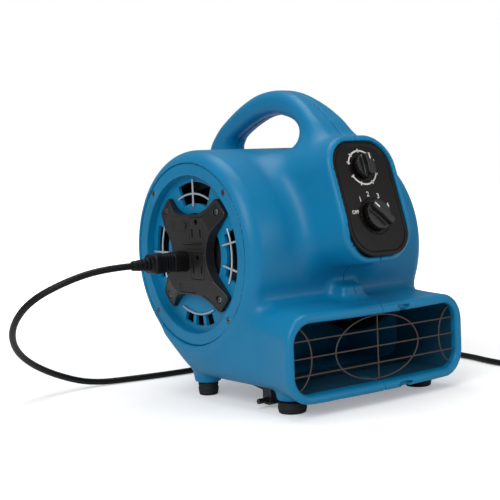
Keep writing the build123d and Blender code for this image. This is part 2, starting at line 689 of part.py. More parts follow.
def motor_bracket():
    """Sheet bracket that hangs the motor inside the left ledge ring."""
    wall_in_r = LEDGE_IN_R + 1
    rim = x_tube(BRACKET_R, wall_in_r, bracket_x, bracket_x + LEDGE_T)
    wall = x_tube(BRACKET_WALL_R, wall_in_r, bracket_x, MOTOR_X0)
    hub = x_tube(MOTOR_R + 4, BRACKET_HOLE_R, plate_x, MOTOR_X0)
    bracket = rim + wall + hub
    for angle in COVER_SCREW_ANGLES:
        arm = box_between((plate_x, MOTOR_R, -9), (MOTOR_X0, wall_in_r + 1, 9))
        bracket = bracket + Pos(0, 0, AXIS_Z) * Rot(angle, 0, 0) * arm
    for angle in COVER_SCREW_ANGLES:
        x, y, z = ring_at(MOTOR_BOLT_PCR, angle, 0)
        bracket = bracket - x_cylinder(SCREW_R, plate_x - 1, MOTOR_X0 + 1, y, z)
        x, y, z = ring_at(BRACKET_SCREW_PCR, angle - 45, 0)
        bracket = bracket - x_cylinder(SMALL_SCREW_R, bracket_x - 1, bracket_x + LEDGE_T + 1, y, z)
    return bracket


# ================================================================ motor and fan
def motor_bell(x0, x1, open_side):
    """End bell of the motor with a pocket for its bearing on the inner side."""
    bell = x_cylinder(MOTOR_R, x0, x1)
    outer_edge = bell.edges().filter_by(GeomType.CIRCLE).group_by(Axis.X)[0 if open_side > 0 else -1]
    bell = fillet(outer_edge, 1.5)
    inner_x = x1 if open_side > 0 else x0
    bell = bell - x_cylinder(BEARING_R, inner_x - open_side * BEARING_W, inner_x)
    bell = bell - x_cylinder(SHAFT_R + 1.0, x0 - 1, x1 + 1)
    for angle in COVER_SCREW_ANGLES:
        x, y, z = ring_at(MOTOR_BOLT_PCR, angle, 0)
        if open_side > 0:
            bell = bell - x_cylinder(SCREW_R, x0 - 1, x0 + MOTOR_BOLT_DEPTH, y, z)
    return bell


def stator():
    """Laminated stator with its windings standing out at both ends."""
    core = x_tube(MOTOR_R - MOTOR_CAN_T, ROTOR_R + AIR_GAP, CORE_X0, CORE_X1)
    coil_out, coil_in = MOTOR_R - MOTOR_CAN_T - 2, ROTOR_R + AIR_GAP + 2
    coils = x_tube(coil_out, coil_in, CORE_X0 - COIL_REACH, CORE_X1 + COIL_REACH)
    return core, coils - core


def fan_blade():
    """Outline of one forward-curved blade, in the side plane."""
    mid_r = (WHEEL_R + WHEEL_EYE_R) / 2
    arc = ThreePointArc((WHEEL_EYE_R + 0.5, 0), (mid_r, -1.6), (WHEEL_R - 0.8, 2.5))
    return trace(arc, BLADE_T)


def fan_wheel():
    """Double-inlet wheel: a middle disc, two end rings and a cage of curved blades."""
    blades = Sketch()
    blade = fan_blade()
    for count in range(WHEEL_BLADES):
        blades = blades + Rot(0, 0, 360 * count / WHEEL_BLADES) * blade
    wheel = on_side(blades, WHEEL_X0, WHEEL_X1 - WHEEL_X0)
    wheel = wheel + x_tube(WHEEL_R, HUB_BOLT_R, WHEEL_DISC_X, WHEEL_DISC_X + DISC_T)
    wheel = wheel + x_tube(WHEEL_R, WHEEL_EYE_R, WHEEL_X0, WHEEL_X0 + DISC_T)
    return wheel + x_tube(WHEEL_R, WHEEL_EYE_R, WHEEL_X1 - DISC_T, WHEEL_X1)


def fan_hub():
    """Metal hub riveted into the wheel's disc and clamped on the shaft."""
    hub = x_tube(HUB_R, SHAFT_R, WHEEL_DISC_X - 3, WHEEL_DISC_X + HUB_LEN)
    flange = x_tube(HUB_BOLT_R, SHAFT_R, WHEEL_DISC_X, WHEEL_DISC_X + DISC_T)
    return hub + flange - hub_screw()


def hub_screw():
    """Grub screw that clamps the hub on the shaft."""
    x = WHEEL_DISC_X + HUB_LEN - 5
    return Pos(x, 0, AXIS_Z + (SHAFT_R + HUB_R) / 2) * Cylinder(SCREW_R, HUB_R - SHAFT_R)


keep("motor_cover", motor_cover())
keep("window_guards", window_guards())
keep("power_panel", power_panel())
keep("upper_outlet", outlet_socket(OUTLET_SOCKET_Z[1]))
keep("lower_outlet", outlet_socket(OUTLET_SOCKET_Z[0]))

panel_back_x = PANEL_BOX_FACE_X + PANEL_BOX_WALL
breaker = x_cylinder(BREAKER_R, panel_back_x, panel_back_x + BREAKER_DEPTH, BREAKER_Y, BREAKER_Z)
breaker = breaker + x_cylinder(BREAKER_NECK_R, PANEL_BOX_FACE_X, panel_back_x, BREAKER_Y, BREAKER_Z)
breaker = breaker - x_cylinder(
    BUTTON_R + BUTTON_CLEAR, PANEL_BOX_FACE_X - 1, panel_back_x + BUTTON_TRAVEL + 1.5, BREAKER_Y, BREAKER_Z)
keep("breaker_body", breaker)
button = x_cylinder(BUTTON_R, BUTTON_FACE_X, panel_back_x, BREAKER_Y, BREAKER_Z)
keep("reset_button", fillet(button.faces().sort_by(Axis.X)[0].edges(), 0.5))
keep("lead_gland", lead_gland())
keep("motor_bracket", motor_bracket())

panel_screws = [x_screw(ARM_SCREW_SEAT_X, ARM_SCREW_SEAT_X + PANEL_SCREW_LEN, y, z,
                        SMALL_SCREW_R, SMALL_HEAD_R, SMALL_HEAD_H) for y, z in panel_screw_places()]
keep("panel_screws", Compound(panel_screws))
cover_screws = []
for angle in COVER_SCREW_ANGLES:
    x, y, z = ring_at(COVER_SCREW_PCR, angle, COVER_FACE_X + SMALL_HEAD_H)
    cover_screws.append(x_screw(x, ledge_left_x + LEDGE_T, y, z, SMALL_SCREW_R, SMALL_HEAD_R, SMALL_HEAD_H))
keep("cover_screws", Compound(cover_screws))
bracket_screws = []
motor_bolts = []
for angle in COVER_SCREW_ANGLES:
    x, y, z = ring_at(BRACKET_SCREW_PCR, angle - 45, bracket_x + LEDGE_T)
    bracket_screws.append(x_screw(x, ledge_left_x + 0.5, y, z, SMALL_SCREW_R, SMALL_HEAD_R, SMALL_HEAD_H))
    x, y, z = ring_at(MOTOR_BOLT_PCR, angle, plate_x)
    motor_bolts.append(x_screw(x, MOTOR_X0 + MOTOR_BOLT_DEPTH, y, z, SCREW_R, SCREW_HEAD_R, BOLT_HEAD_H))
keep("bracket_screws", Compound(bracket_screws))
keep("motor_bolts", Compound(motor_bolts))
pieces["left_shell"] = pieces["left_shell"] - Compound(cover_screws) - Compound(bracket_screws)

# motor, from the bracket inwards
can_x0 = MOTOR_X0 + BELL_T
can_x1 = MOTOR_X1 - BELL_T
keep("motor_can", x_tube(MOTOR_R, MOTOR_R - MOTOR_CAN_T, can_x0, can_x1))
keep("rear_bell", motor_bell(MOTOR_X0, can_x0, 1))
keep("front_bell", motor_bell(can_x1, MOTOR_X1, -1))
keep("rear_bearing", x_tube(BEARING_R, SHAFT_R + BEARING_CLEAR, can_x0 - BEARING_W, can_x0))
keep("front_bearing", x_tube(BEARING_R, SHAFT_R + BEARING_CLEAR, can_x1, can_x1 + BEARING_W))
core, windings = stator()
keep("stator_core", core)
keep("stator_windings", windings)
keep("rotor_core", x_tube(ROTOR_R, SHAFT_R, CORE_X0, CORE_X1))
keep("motor_shaft", x_cylinder(SHAFT_R, MOTOR_X0 + 1, WHEEL_DISC_X + HUB_LEN + 2))
keep("fan_wheel", fan_wheel())
keep("fan_hub", fan_hub())
keep("hub_screw", hub_screw())

inner_r = DRUM_R - WALL
keep("left_inlet_ring", x_tube(inner_r, WHEEL_EYE_R, LEFT_RING_X, LEFT_RING_X + LEDGE_T))

# ================================================================ right side
ring_back = GRILLE_X - 2 * LEDGE_T
inlet_ring = x_tube(inner_r, INLET_EYE_R, ring_back, ring_back + LEDGE_T)
inlet_ring = inlet_ring + x_tube(INLET_EYE_R + 2.5, INLET_EYE_R, ring_back - INLET_THROAT, ring_back)
tab_places = [ring_at(TAB_SCREW_PCR, angle, GRILLE_X + GRILLE_T) for angle in inlet_tab_angles()]


def inlet_grille():
    """Flat moulded inlet grille: rings, spokes and three fixing tabs."""
    half_wire = GRILLE_WIRE / 2
    face = Circle(GRILLE_RING_R + 1) - Circle(GRILLE_RING_R - GRILLE_WIRE)
    face = face + (Circle(GRILLE_MID_R + half_wire) - Circle(GRILLE_MID_R - half_wire))
    face = face + Circle(GRILLE_HUB_R)
    for count in range(GRILLE_SPOKES):
        start = GRILLE_MID_R if count % 2 else GRILLE_HUB_R - 1
        spoke = Pos((start + GRILLE_RING_R) / 2, 0) * Rectangle(GRILLE_RING_R - start, GRILLE_SPOKE_W)
        face = face + Rot(0, 0, 360 * count / GRILLE_SPOKES) * spoke
    for angle in inlet_tab_angles():
        tab_in = GRILLE_RING_R - 2
        tab = Pos((tab_in + GRILLE_TAB_R) / 2, 0) * Rectangle(GRILLE_TAB_R - tab_in, TAB_W)
        face = face + Rot(0, 0, angle) * tab
    return on_side(face, GRILLE_X, GRILLE_T)


grille_screws = [x_screw(x, ring_back, y, z, SMALL_SCREW_R, SMALL_HEAD_R, SMALL_HEAD_H)
                 for x, y, z in tab_places]
keep("inlet_grille", inlet_grille() - Compound(grille_screws))
keep("inlet_ring", inlet_ring - Compound(grille_screws))
keep("grille_screws", Compound(grille_screws))
pieces["right_shell"] = pieces["right_shell"] - Compound(grille_screws)


# ================================================================ outlet grille
def outlet_grille():
    """Flat wire grille across the nozzle's mouth."""
    half_wire = OUTLET_WIRE / 2
    wires = Sketch()
    for z in OUTLET_WIRE_Z:
        wires = wires + Pos(0, z) * Rectangle(2 * LIP_HALF, OUTLET_WIRE)
    wires = wires + Pos(0, AXIS_Z / 2) * Rectangle(OUTLET_WIRE, AXIS_Z)
    middle = Pos(0, OVAL_MIDDLE_Z)
    oval = Ellipse(OVAL_HALF_W + half_wire, OVAL_HALF_H + half_wire) - Ellipse(
        OVAL_HALF_W - half_wire, OVAL_HALF_H - half_wire)
    wires = wires + middle * oval
    for side in (-1, 1):
        end = Ellipse(END_OVAL_W + half_wire, OVAL_HALF_H + half_wire) - Ellipse(
            END_OVAL_W - half_wire, OVAL_HALF_H - half_wire)
        wires = wires + Pos(side * END_OVAL_X, OVAL_MIDDLE_Z) * end
    flat = extrude(front_plane(OUTLET_Y) * wires, -OUTLET_WIRE)
    passage = nozzle_hollow() & box_between((-LIP_HALF, OUTLET_Y - 1, 0), (LIP_HALF, OUTLET_Y + 8, AXIS_Z))
    return flat & passage


keep("outlet_grille", outlet_grille())

# ================================================================ controls
control_panel = extrude(
    panel_plane(-PANEL_T) * RectangleRounded(2 * PANEL_HALF_W, 2 * PANEL_HALF_H, PANEL_CORNER), PANEL_T)
control_panel = chamfer(control_panel.faces().sort_by(Axis.Y)[0].edges(), PANEL_BEVEL * 0.7)


def on_panel(v, u=0.0):
    """Plane on the control panel at u across and v up."""
    base = panel_plane()
    return Plane(origin=base.origin + base.y_dir * v + base.x_dir * u, x_dir=base.x_dir, z_dir=base.z_dir)


def panel_rod(v, radius, out0, out1, u=0.0):
    """Round rod square to the control panel from out0 to out1."""
    base = on_panel(v, u)
    start = Plane(origin=base.origin + base.z_dir * out0, x_dir=base.x_dir, z_dir=base.z_dir)
    return extrude(start * Circle(radius), out1 - out0)


def panel_box(v, half_w, half_h, out0, out1, turn=0.0, corner=2.0):
    """Rounded block square to the control panel from out0 to out1."""
    base = on_panel(v)
    start = Plane(origin=base.origin + base.z_dir * out0, x_dir=base.x_dir, z_dir=base.z_dir)
    return extrude(start * Rot(0, 0, turn) * RectangleRounded(2 * half_w, 2 * half_h, corner), out1 - out0)


def knob(v, radius, height, grip_half_w, grip_turn, skirt):
    """Knob with a round skirt and a bar grip, seated on its spindle."""
    body = panel_rod(v, radius, KNOB_LIFT, KNOB_LIFT + skirt)
    rim = body.edges().filter_by(GeomType.CIRCLE).sort_by(Axis.Y)[0]
    body = chamfer(rim, 0.8)
    grip = panel_box(v, grip_half_w, radius - 0.6, KNOB_LIFT + skirt, height, grip_turn, grip_half_w * 0.8)
    return body + grip - panel_rod(v, SPINDLE_R, 0, height - 4)


for name, v, knob_shape, body_size in (
    ("timer", TIMER_V,
     knob(TIMER_V, TIMER_KNOB_R, TIMER_KNOB_H, TIMER_GRIP_HALF, 0.0, TIMER_SKIRT), TIMER_BODY),
    ("speed", SPEED_V,
     knob(SPEED_V, SPEED_KNOB_R, SPEED_KNOB_H, SPEED_GRIP_HALF, SPEED_GRIP_TURN, SPEED_SKIRT), SPEED_BODY),
):
    half_w, half_h, depth = body_size
    height = TIMER_KNOB_H if name == "timer" else SPEED_KNOB_H
    bore = panel_rod(v, SPINDLE_R + SPINDLE_CLEAR, -SPINDLE_IN - FIT_GAP, 1)
    body = panel_box(v, half_w, half_h, -PANEL_T - depth, -PANEL_T) - bore
    control_panel = control_panel - bore
    keep(name + "_knob", knob_shape)
    keep(name + "_spindle", panel_rod(v, SPINDLE_R, -SPINDLE_IN, height - 4))
    keep("timer_body" if name == "timer" else "speed_switch", body)
keep("control_panel", control_panel)
keep("run_capacitor", panel_rod(CAPACITOR_V, CAPACITOR_R, -PANEL_T - CAPACITOR_LEN, -PANEL_T, CAPACITOR_U))

# ================================================================ feet and kickstand
foot_screws = []
for side, label in ((-1, "left"), (1, "right")):
    for end, place, radius, height in (
        ("front", FRONT_FOOT, FRONT_FOOT_R, FRONT_FOOT_H), ("rear", REAR_FOOT, REAR_FOOT_R, REAR_FOOT_H),
    ):
        x, y = side * place[0], place[1]
        foot = z_cylinder(radius, 0, height, x, y)
        foot = fillet(foot.faces().sort_by(Axis.Z)[0].edges(), 1.5)
        foot = foot - z_cylinder(SCREW_HEAD_R + 0.6, -1, FOOT_SCREW_SEAT, x, y)
        foot = foot - z_cylinder(SCREW_R, 0, height + 1, x, y)
        keep(end + "_foot_" + label, foot)
for x, y, top in foot_screw_places():
    screw = z_cylinder(SCREW_R, FOOT_SCREW_SEAT, top, x, y)
    head = z_cylinder(SCREW_HEAD_R, FOOT_SCREW_SEAT - SCREW_HEAD_H, FOOT_SCREW_SEAT, x, y)
    foot_screws.append(screw + head)
keep("foot_screws", Compound(foot_screws))
keep("housing_screws", Compound(seam_screw_set()))


def kickstand():
    """Bent wire stand folded flat under the base: two pivot ends, two legs and a cross bar."""
    stand = Pos(0, STAND_BAR_Y, STAND_BAR_Z) * Rot(0, 90, 0) * Cylinder(STAND_WIRE_R, 2 * STAND_LEG_X)
    for side in (-1, 1):
        length = STAND_END_X - STAND_LEG_X
        pivot = Pos(side * (STAND_LEG_X + length / 2), STAND_PIVOT_Y, STAND_PIVOT_Z)
        stand = stand + pivot * Rot(0, 90, 0) * Cylinder(STAND_WIRE_R, length)
        stand = stand + Pos(side * STAND_END_X, STAND_PIVOT_Y, STAND_PIVOT_Z) * Sphere(STAND_WIRE_R)
        start = Vector(side * STAND_LEG_X, STAND_PIVOT_Y, STAND_PIVOT_Z)
        stop = Vector(side * STAND_LEG_X, STAND_BAR_Y, STAND_BAR_Z)
        leg_end = Plane(origin=start, z_dir=stop - start) * Circle(STAND_WIRE_R)
        stand = stand + sweep(leg_end, Line(start, stop))
        stand = stand + Pos(*start) * Sphere(STAND_WIRE_R) + Pos(*stop) * Sphere(STAND_WIRE_R)
    return stand


keep("kickstand", kickstand())
for side, label in ((-1, "left"), (1, "right")):
    x0 = side * CLIP_X
    low = (min(x0, x0 + side * CLIP_W), STAND_PIVOT_Y - CLIP_HALF, STAND_PIVOT_Z - STAND_WIRE_R - 1.8)
    high = (max(x0, x0 + side * CLIP_W), STAND_PIVOT_Y + CLIP_HALF, BASE_BOTTOM)
    clip = box_between(low, high)
    bore_r = STAND_WIRE_R + SPINDLE_CLEAR
    middle = (low[0] + high[0]) / 2
    clip = fillet(clip.edges().filter_by(Axis.X).group_by(Axis.Z)[0], 3.5)
    clip = clip - Pos(middle, STAND_PIVOT_Y, STAND_PIVOT_Z) * Rot(0, 90, 0) * Cylinder(bore_r, CLIP_W + 2)
    keep("kickstand_clip_" + label, clip)


# ================================================================ lead
# Route of the lead from its gland to the coil, each point as it lies.
LEAD_POINTS = (
    (LEAD_START_X, LEAD_Y, LEAD_Z),
    (LEAD_START_X - 30.0, LEAD_Y, LEAD_Z),
    (-224.0, 15.0, 122.0),
    (-252.0, 33.0, 106.0),
    (-255.0, 64.0, 82.0),
    (-240.0, 95.0, 58.0),
    (-214.0, 119.0, 37.0),
    (-178.0, 134.0, 18.0),
    (-138.0, 138.0, 3.6),
    (-95.0, 128.0, 3.2),
    (-40.0, 119.0, 3.2),
    (20.0, 121.0, 3.2),
    (85.0, 127.0, 3.2),
    (145.0, 110.0, 3.2),
    (190.0, 70.0, 3.2),
    (215.0, 15.0, 3.2),
    (217.0, -45.0, 3.2),
    (202.0, -100.0, 3.2),
    (208.0, -136.0, 3.2),
    (234.0, -152.0, 3.2),
    (252.0, -161.0, 7.2),
)
TAIL_POINTS = (
    (312.0, -197.0, 9.5),
    (313.0, -226.0, 10.5),
    (306.0, -256.0, 11.5),
)


def corner_radii(points):
    """Arc radius at each inner point: as large as the two runs beside it allow."""
    radii = []
    for before, here, after in zip(points, points[1:], points[2:]):
        into = Vector(*here) - Vector(*before)
        out = Vector(*after) - Vector(*here)
        half_turn = math.radians(into.get_angle(out)) / 2
        radii.append(0.45 * min(into.length, out.length) / math.tan(half_turn))
    return radii


def cord_tube(points):
    """Round tube along straight runs joined by tangent arcs, with its centre line's length."""
    radii = corner_radii(points)
    print("cord radii", [round(r) for r in radii])
    path = FilletPolyline(*points, radius=radii)
    start = Plane(origin=path @ 0, z_dir=path % 0)
    tube = sweep(start * Circle(LEAD_R), path=path)
    print("cord volume", round(tube.volume), "of", round(math.pi * LEAD_R ** 2 * path.length))
    return tube, path.length


def along(points, out0, out1, sketch):
    """An outline given length along the last run of a route, measured from its end."""
    end = Vector(*points[-1])
    way = (end - Vector(*points[-2])).normalized()
    return extrude(Plane(origin=end + way * out0, x_dir=(0, 0, 1), z_dir=way) * sketch, out1 - out0)


def coil_ring(grow):
    """The put-away coil as one ring, or a larger one round it."""
    section = RectangleRounded(COIL_W + 2 * grow, COIL_H + 2 * grow, COIL_CORNER + grow)
    ring = revolve(Plane.XZ * Pos(COIL_R, TIE_T + COIL_H / 2) * section, Axis.Z)
    return Pos(*COIL_AT, 0) * ring


coil = coil_ring(0)
lead, lead_length = cord_tube(LEAD_POINTS)
tail, tail_length = cord_tube(TAIL_POINTS)
tie_far = COIL_AT[1] - COIL_R - COIL_W
tie_reach = box_between(
    (COIL_AT[0] - TIE_W / 2, tie_far, -1), (COIL_AT[0] + TIE_W / 2, COIL_AT[1], 2 * COIL_H))
turns = COIL_TURNS * 2 * math.pi * COIL_R
print("lead length", round(lead_length + turns + tail_length))
keep("mains_lead", lead - coil)
keep("lead_coil", coil)
keep("lead_tail", tail - coil)
keep("coil_tie", (coil_ring(TIE_T) & tie_reach) - coil)

plug = along(TAIL_POINTS, PLUG_NECK, PLUG_LEN, RectangleRounded(PLUG_H, PLUG_W, PLUG_CORNER))
plug = plug + along(TAIL_POINTS, 0, PLUG_NECK, Circle(TAIL_R))
blade_end = PLUG_LEN + PIN_LEN
pins = [
    along(TAIL_POINTS, PLUG_LEN, blade_end, Pos(-PIN_OUT, side * SLOT_PITCH / 2) * Rectangle(PIN_W, PIN_T))
    for side in (-1, 1)
]
earth_pin = Pos(EARTH_PIN_OUT, 0) * Circle(EARTH_PIN_R)
pins.append(along(TAIL_POINTS, PLUG_LEN, blade_end + EARTH_PIN_EXTRA, earth_pin))
keep("mains_plug", plug)
keep("plug_pins", Compound(pins))

# ================================================================ shift to the footprint and write
front_y = pieces["speed_knob"].bounding_box().min.Y
rear_y = max(section[0] for section in HANDLE_SECTIONS)
shift_y = -(front_y + rear_y) / 2
print("shift in y", shift_y)
for name, shape in pieces.items():
    export_step(Pos(0, shift_y, 0) * shape, "parts/" + name + ".step")
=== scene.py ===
"""Looks of a small air mover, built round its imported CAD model."""
import math

import bpy
import numpy as np
from mathutils import Matrix, Vector


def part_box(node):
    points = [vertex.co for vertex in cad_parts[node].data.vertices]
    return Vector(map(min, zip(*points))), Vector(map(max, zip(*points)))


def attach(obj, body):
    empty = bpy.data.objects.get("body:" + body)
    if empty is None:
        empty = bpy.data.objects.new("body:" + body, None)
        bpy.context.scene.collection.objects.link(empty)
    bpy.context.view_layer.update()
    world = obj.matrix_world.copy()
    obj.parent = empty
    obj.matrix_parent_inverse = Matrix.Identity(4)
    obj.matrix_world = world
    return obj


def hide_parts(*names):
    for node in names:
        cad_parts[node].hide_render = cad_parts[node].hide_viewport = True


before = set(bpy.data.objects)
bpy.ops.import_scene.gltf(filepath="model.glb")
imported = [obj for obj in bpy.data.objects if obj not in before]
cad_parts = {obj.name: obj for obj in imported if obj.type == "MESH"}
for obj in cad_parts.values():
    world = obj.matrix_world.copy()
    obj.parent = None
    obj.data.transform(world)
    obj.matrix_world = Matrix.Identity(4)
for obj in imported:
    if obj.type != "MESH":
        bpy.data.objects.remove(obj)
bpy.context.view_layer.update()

MM = 0.001
# The layout: every piece below is placed in millimetres, x across from the middle, y back from the fan
# axis and z up from the floor.
shaft_low, shaft_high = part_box("motor_shaft")
AXIS_Y = (shaft_low.y + shaft_high.y) / 2
AXIS_Z = 1000 * (shaft_low.z + shaft_high.z) / 2


def place(x, y, z):
    """A point in the layout's millimetres as a point in the row frame."""
    return Vector((x * MM, AXIS_Y + y * MM, z * MM))


def put(name, data):
    """A new object in the scene."""
    obj = bpy.data.objects.new(name, data)
    bpy.context.scene.collection.objects.link(obj)
    return obj


# ---------------------------------------------------------------- camera
CAMERA_AZ, CAMERA_EL, CAMERA_ROLL = -39.248, 3.642, 2.18
CAMERA_TARGET, CAMERA_DISTANCE = (0.0, -20.0, 145.0), 1104.42
CAMERA_FOCAL, SENSOR_WIDTH = 2.283216, 36.0     # the focal length in picture widths, and the sensor in mm
PICTURE_SHIFT = (-0.0822, -0.025)               # the picture's middle from the view axis, in picture widths

az, el = math.radians(CAMERA_AZ), math.radians(CAMERA_EL)
back = Vector((math.sin(az) * math.cos(el), -math.cos(az) * math.cos(el), math.sin(el)))
right = Vector((math.cos(az), math.sin(az), 0))
up = back.cross(right)
roll = math.radians(CAMERA_ROLL)
cam_right = right * math.cos(roll) - up * math.sin(roll)
cam_up = right * math.sin(roll) + up * math.cos(roll)
eye = place(*CAMERA_TARGET) + back * CAMERA_DISTANCE * MM
camera = put("camera", bpy.data.cameras.new("camera"))
camera.matrix_world = Matrix.Translation(eye) @ Matrix((cam_right, cam_up, back)).transposed().to_4x4()
camera.data.sensor_width = SENSOR_WIDTH
camera.data.lens = SENSOR_WIDTH * CAMERA_FOCAL
camera.data.shift_x, camera.data.shift_y = PICTURE_SHIFT
camera.data.clip_start = 0.05
camera.data.clip_end = 50
bpy.context.scene.camera = camera


# ---------------------------------------------------------------- materials
class Nodes:
    """A material's node tree, wired by name."""

    def __init__(self, name):
        self.material = bpy.data.materials.new(name)
        self.material.use_nodes = True
        self.tree = self.material.node_tree
        self.shader = self.tree.nodes["Principled BSDF"]
        self.at = self.add("ShaderNodeTexCoord").outputs["Object"]

    def add(self, kind, **values):
        node = self.tree.nodes.new(kind)
        for key, value in values.items():
            setattr(node, key, value)
        return node

    def link(self, a, b):
        self.tree.links.new(a, b)

    def noise(self, scale, detail=3.0, roughness=0.5, stretch=None):
        node = self.add("ShaderNodeTexNoise")
        node.inputs["Scale"].default_value = scale
        node.inputs["Detail"].default_value = detail
        node.inputs["Roughness"].default_value = roughness
        source = self.at
        if stretch:
            mapping = self.add("ShaderNodeMapping")
            mapping.inputs["Scale"].default_value = stretch
            self.link(self.at, mapping.inputs["Vector"])
            source = mapping.outputs["Vector"]
        self.link(source, node.inputs["Vector"])
        return node.outputs["Fac"]

    def ramp(self, value, stops):
        node = self.add("ShaderNodeValToRGB")
        elements = node.color_ramp.elements
        while len(elements) < len(stops):
            elements.new(0.5)
        for element, (position, colour) in zip(elements, stops):
            element.position = position
            element.color = (*colour, 1)
        self.link(value, node.inputs["Fac"])
        return node.outputs["Color"]

    def spread(self, value, low, high):
        node = self.add("ShaderNodeMapRange")
        node.inputs["To Min"].default_value = low
        node.inputs["To Max"].default_value = high
        self.link(value, node.inputs["Value"])
        return node.outputs["Result"]

    def bump(self, value, strength, distance):
        node = self.add("ShaderNodeBump")
        node.inputs["Strength"].default_value = strength
        node.inputs["Distance"].default_value = distance
        self.link(value, node.inputs["Height"])
        if self.shader.inputs["Normal"].links:
            self.link(self.shader.inputs["Normal"].links[0].from_socket, node.inputs["Normal"])
        self.link(node.outputs["Normal"], self.shader.inputs["Normal"])


def linear(r, g, b):
    """An 8-bit screen colour as linear light."""
    return tuple((c / 255 / 12.92) if c <= 10 else ((c / 255 + 0.055) / 1.055) ** 2.4 for c in (r, g, b))


def scaled(colour, k):
    return tuple(min(1.0, c * k) for c in colour)


GLOSS_SPREAD = 0.06
EDGE_HIGHLIGHT_POINTINESS = (0.52, 0.6)      # the pointiness over which an edge turns lighter: a painted highlight along convex edges
EDGE_HIGHLIGHT_LIGHTER = 1.9


def finish(name, colour, rough, vary=0.08, grain=900.0, grain_depth=0.00004, metal=0.0, streak=None, edge_highlight=0.0,
           specular=0.5):
    """Moulded, rubbed or machined surface: slight patches of colour and gloss over a fine grain, and, where
    asked, a painted highlight on convex edges.
    """
    n = Nodes(name)
    patch = n.noise(22.0, 4.0, 0.6, streak)
    base = n.ramp(patch, ((0.3, scaled(colour, 1 - vary)), (0.7, scaled(colour, 1 + vary))))
    # Painted highlight: convex edges, found by pointiness, turn lighter in noisy patches.
    if edge_highlight:
        fine = n.noise(140.0, 5.0, 0.7)
        edge = n.add("ShaderNodeNewGeometry").outputs["Pointiness"]
        lit = n.add("ShaderNodeMapRange")
        lit.inputs["From Min"].default_value, lit.inputs["From Max"].default_value = EDGE_HIGHLIGHT_POINTINESS
        lit.inputs["To Max"].default_value = edge_highlight
        n.link(edge, lit.inputs["Value"])
        share = n.add("ShaderNodeMath", operation="MULTIPLY")
        n.link(lit.outputs["Result"], share.inputs[0])
        n.link(fine, share.inputs[1])
        mix = n.add("ShaderNodeMix", data_type="RGBA")
        n.link(share.outputs[0], mix.inputs["Factor"])
        n.link(base, mix.inputs["A"])
        mix.inputs["B"].default_value = (*scaled(colour, EDGE_HIGHLIGHT_LIGHTER), 1)
        base = mix.outputs["Result"]
    n.link(base, n.shader.inputs["Base Color"])
    gloss = n.spread(n.noise(60.0, 3.0, 0.5, streak), rough - GLOSS_SPREAD, rough + GLOSS_SPREAD)
    n.link(gloss, n.shader.inputs["Roughness"])
    n.bump(n.noise(grain, 2.0, 0.5, streak), 0.5, grain_depth)
    n.shader.inputs["Metallic"].default_value = metal
    n.shader.inputs["Specular IOR Level"].default_value = specular
    return n.material


BLUE = linear(5, 121, 168)
LOOKS = {
    "blue_housing": finish("blue_abs", BLUE, 0.4, 0.05, 1500.0, 0.00003, edge_highlight=0.2, specular=0.3),
    "black_plastic": finish("black_plastic", linear(20, 19, 21), 0.42, 0.15, 1300.0, 0.00005, edge_highlight=0.3),
    "control_panel": finish("panel_black", linear(13, 9, 8), 0.34, 0.12, 2200.0, 0.00003, specular=0.2),
    "knob_black": finish("knob_black", linear(12, 11, 12), 0.36, 0.15, 1200.0, 0.00004, edge_highlight=0.3),
    "grille_black": finish("grille_black", linear(14, 14, 15), 0.45, 0.15, 1100.0, 0.00005, edge_highlight=0.3),
    "fan_black": finish("fan_black", linear(30, 31, 34), 0.5, 0.15, 900.0, 0.00005),
    "outlet_wire": finish("coated_wire_dark", linear(66, 53, 48), 0.5, 0.12, 700.0, 0.00004),
    "guard_wire": finish("guard_wire", linear(178, 190, 198), 0.32, 0.1, 700.0, 0.00003, metal=0.3),
    "stand_wire": finish("stand_wire", linear(14, 14, 15), 0.35, 0.15, 700.0, 0.00004, edge_highlight=0.3),
    "stand_clip": finish("stand_clip", linear(16, 16, 17), 0.45, 0.12, 1000.0, 0.00005),
    "foot_rubber": finish("foot_rubber", linear(15, 14, 14), 0.7, 0.18, 1600.0, 0.00012),
    "screw_steel": finish("screw_steel", linear(120, 122, 126), 0.32, 0.12, 800.0, 0.00003, metal=1.0),
    "sheet_steel": finish("sheet_steel", linear(168, 170, 172), 0.4, 0.1, 300.0, 0.00003, metal=1.0,
                          streak=(1, 1, 6)),
    "bell_aluminium": finish("bell_aluminium", linear(160, 162, 166), 0.45, 0.1, 500.0, 0.00006, metal=1.0),
    "bearing_steel": finish("bearing_steel", linear(188, 190, 194), 0.22, 0.06, 300.0, 0.00002, metal=1.0),
    "laminations": finish("laminations", linear(92, 94, 100), 0.4, 0.15, 260.0, 0.0001, metal=0.9,
                          streak=(30, 1, 1)),
    "copper": finish("copper_winding", linear(176, 98, 52), 0.38, 0.2, 260.0, 0.0002, metal=0.9,
                     streak=(4, 4, 30)),
    "cord_rubber": finish("cord_rubber", linear(9, 9, 10), 0.45, 0.15, 900.0, 0.00006, specular=0.25),
    "tie_black": finish("tie_black", linear(26, 26, 28), 0.6, 0.15, 1200.0, 0.00012, streak=(1, 8, 1)),
    "pin_brass": finish("pin_brass", linear(198, 178, 128), 0.28, 0.1, 500.0, 0.00003, metal=1.0,
                        streak=(1, 6, 1)),
}
# A darker copy of the housing blue: painted shade for the inner faces of the duct and drum.
PAINTED_SHADE_INSIDE = finish("blue_painted_shade_inside", scaled(BLUE, 0.3), 0.6, 0.12, 900.0, 0.00005)
PRINT = finish("print_white", linear(226, 224, 220), 0.5, 0.08, 900.0, 0.00002)

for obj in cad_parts.values():
    slot_name = obj.data.materials[0].name
    obj.data.materials.clear()
    obj.data.materials.append(LOOKS[slot_name])


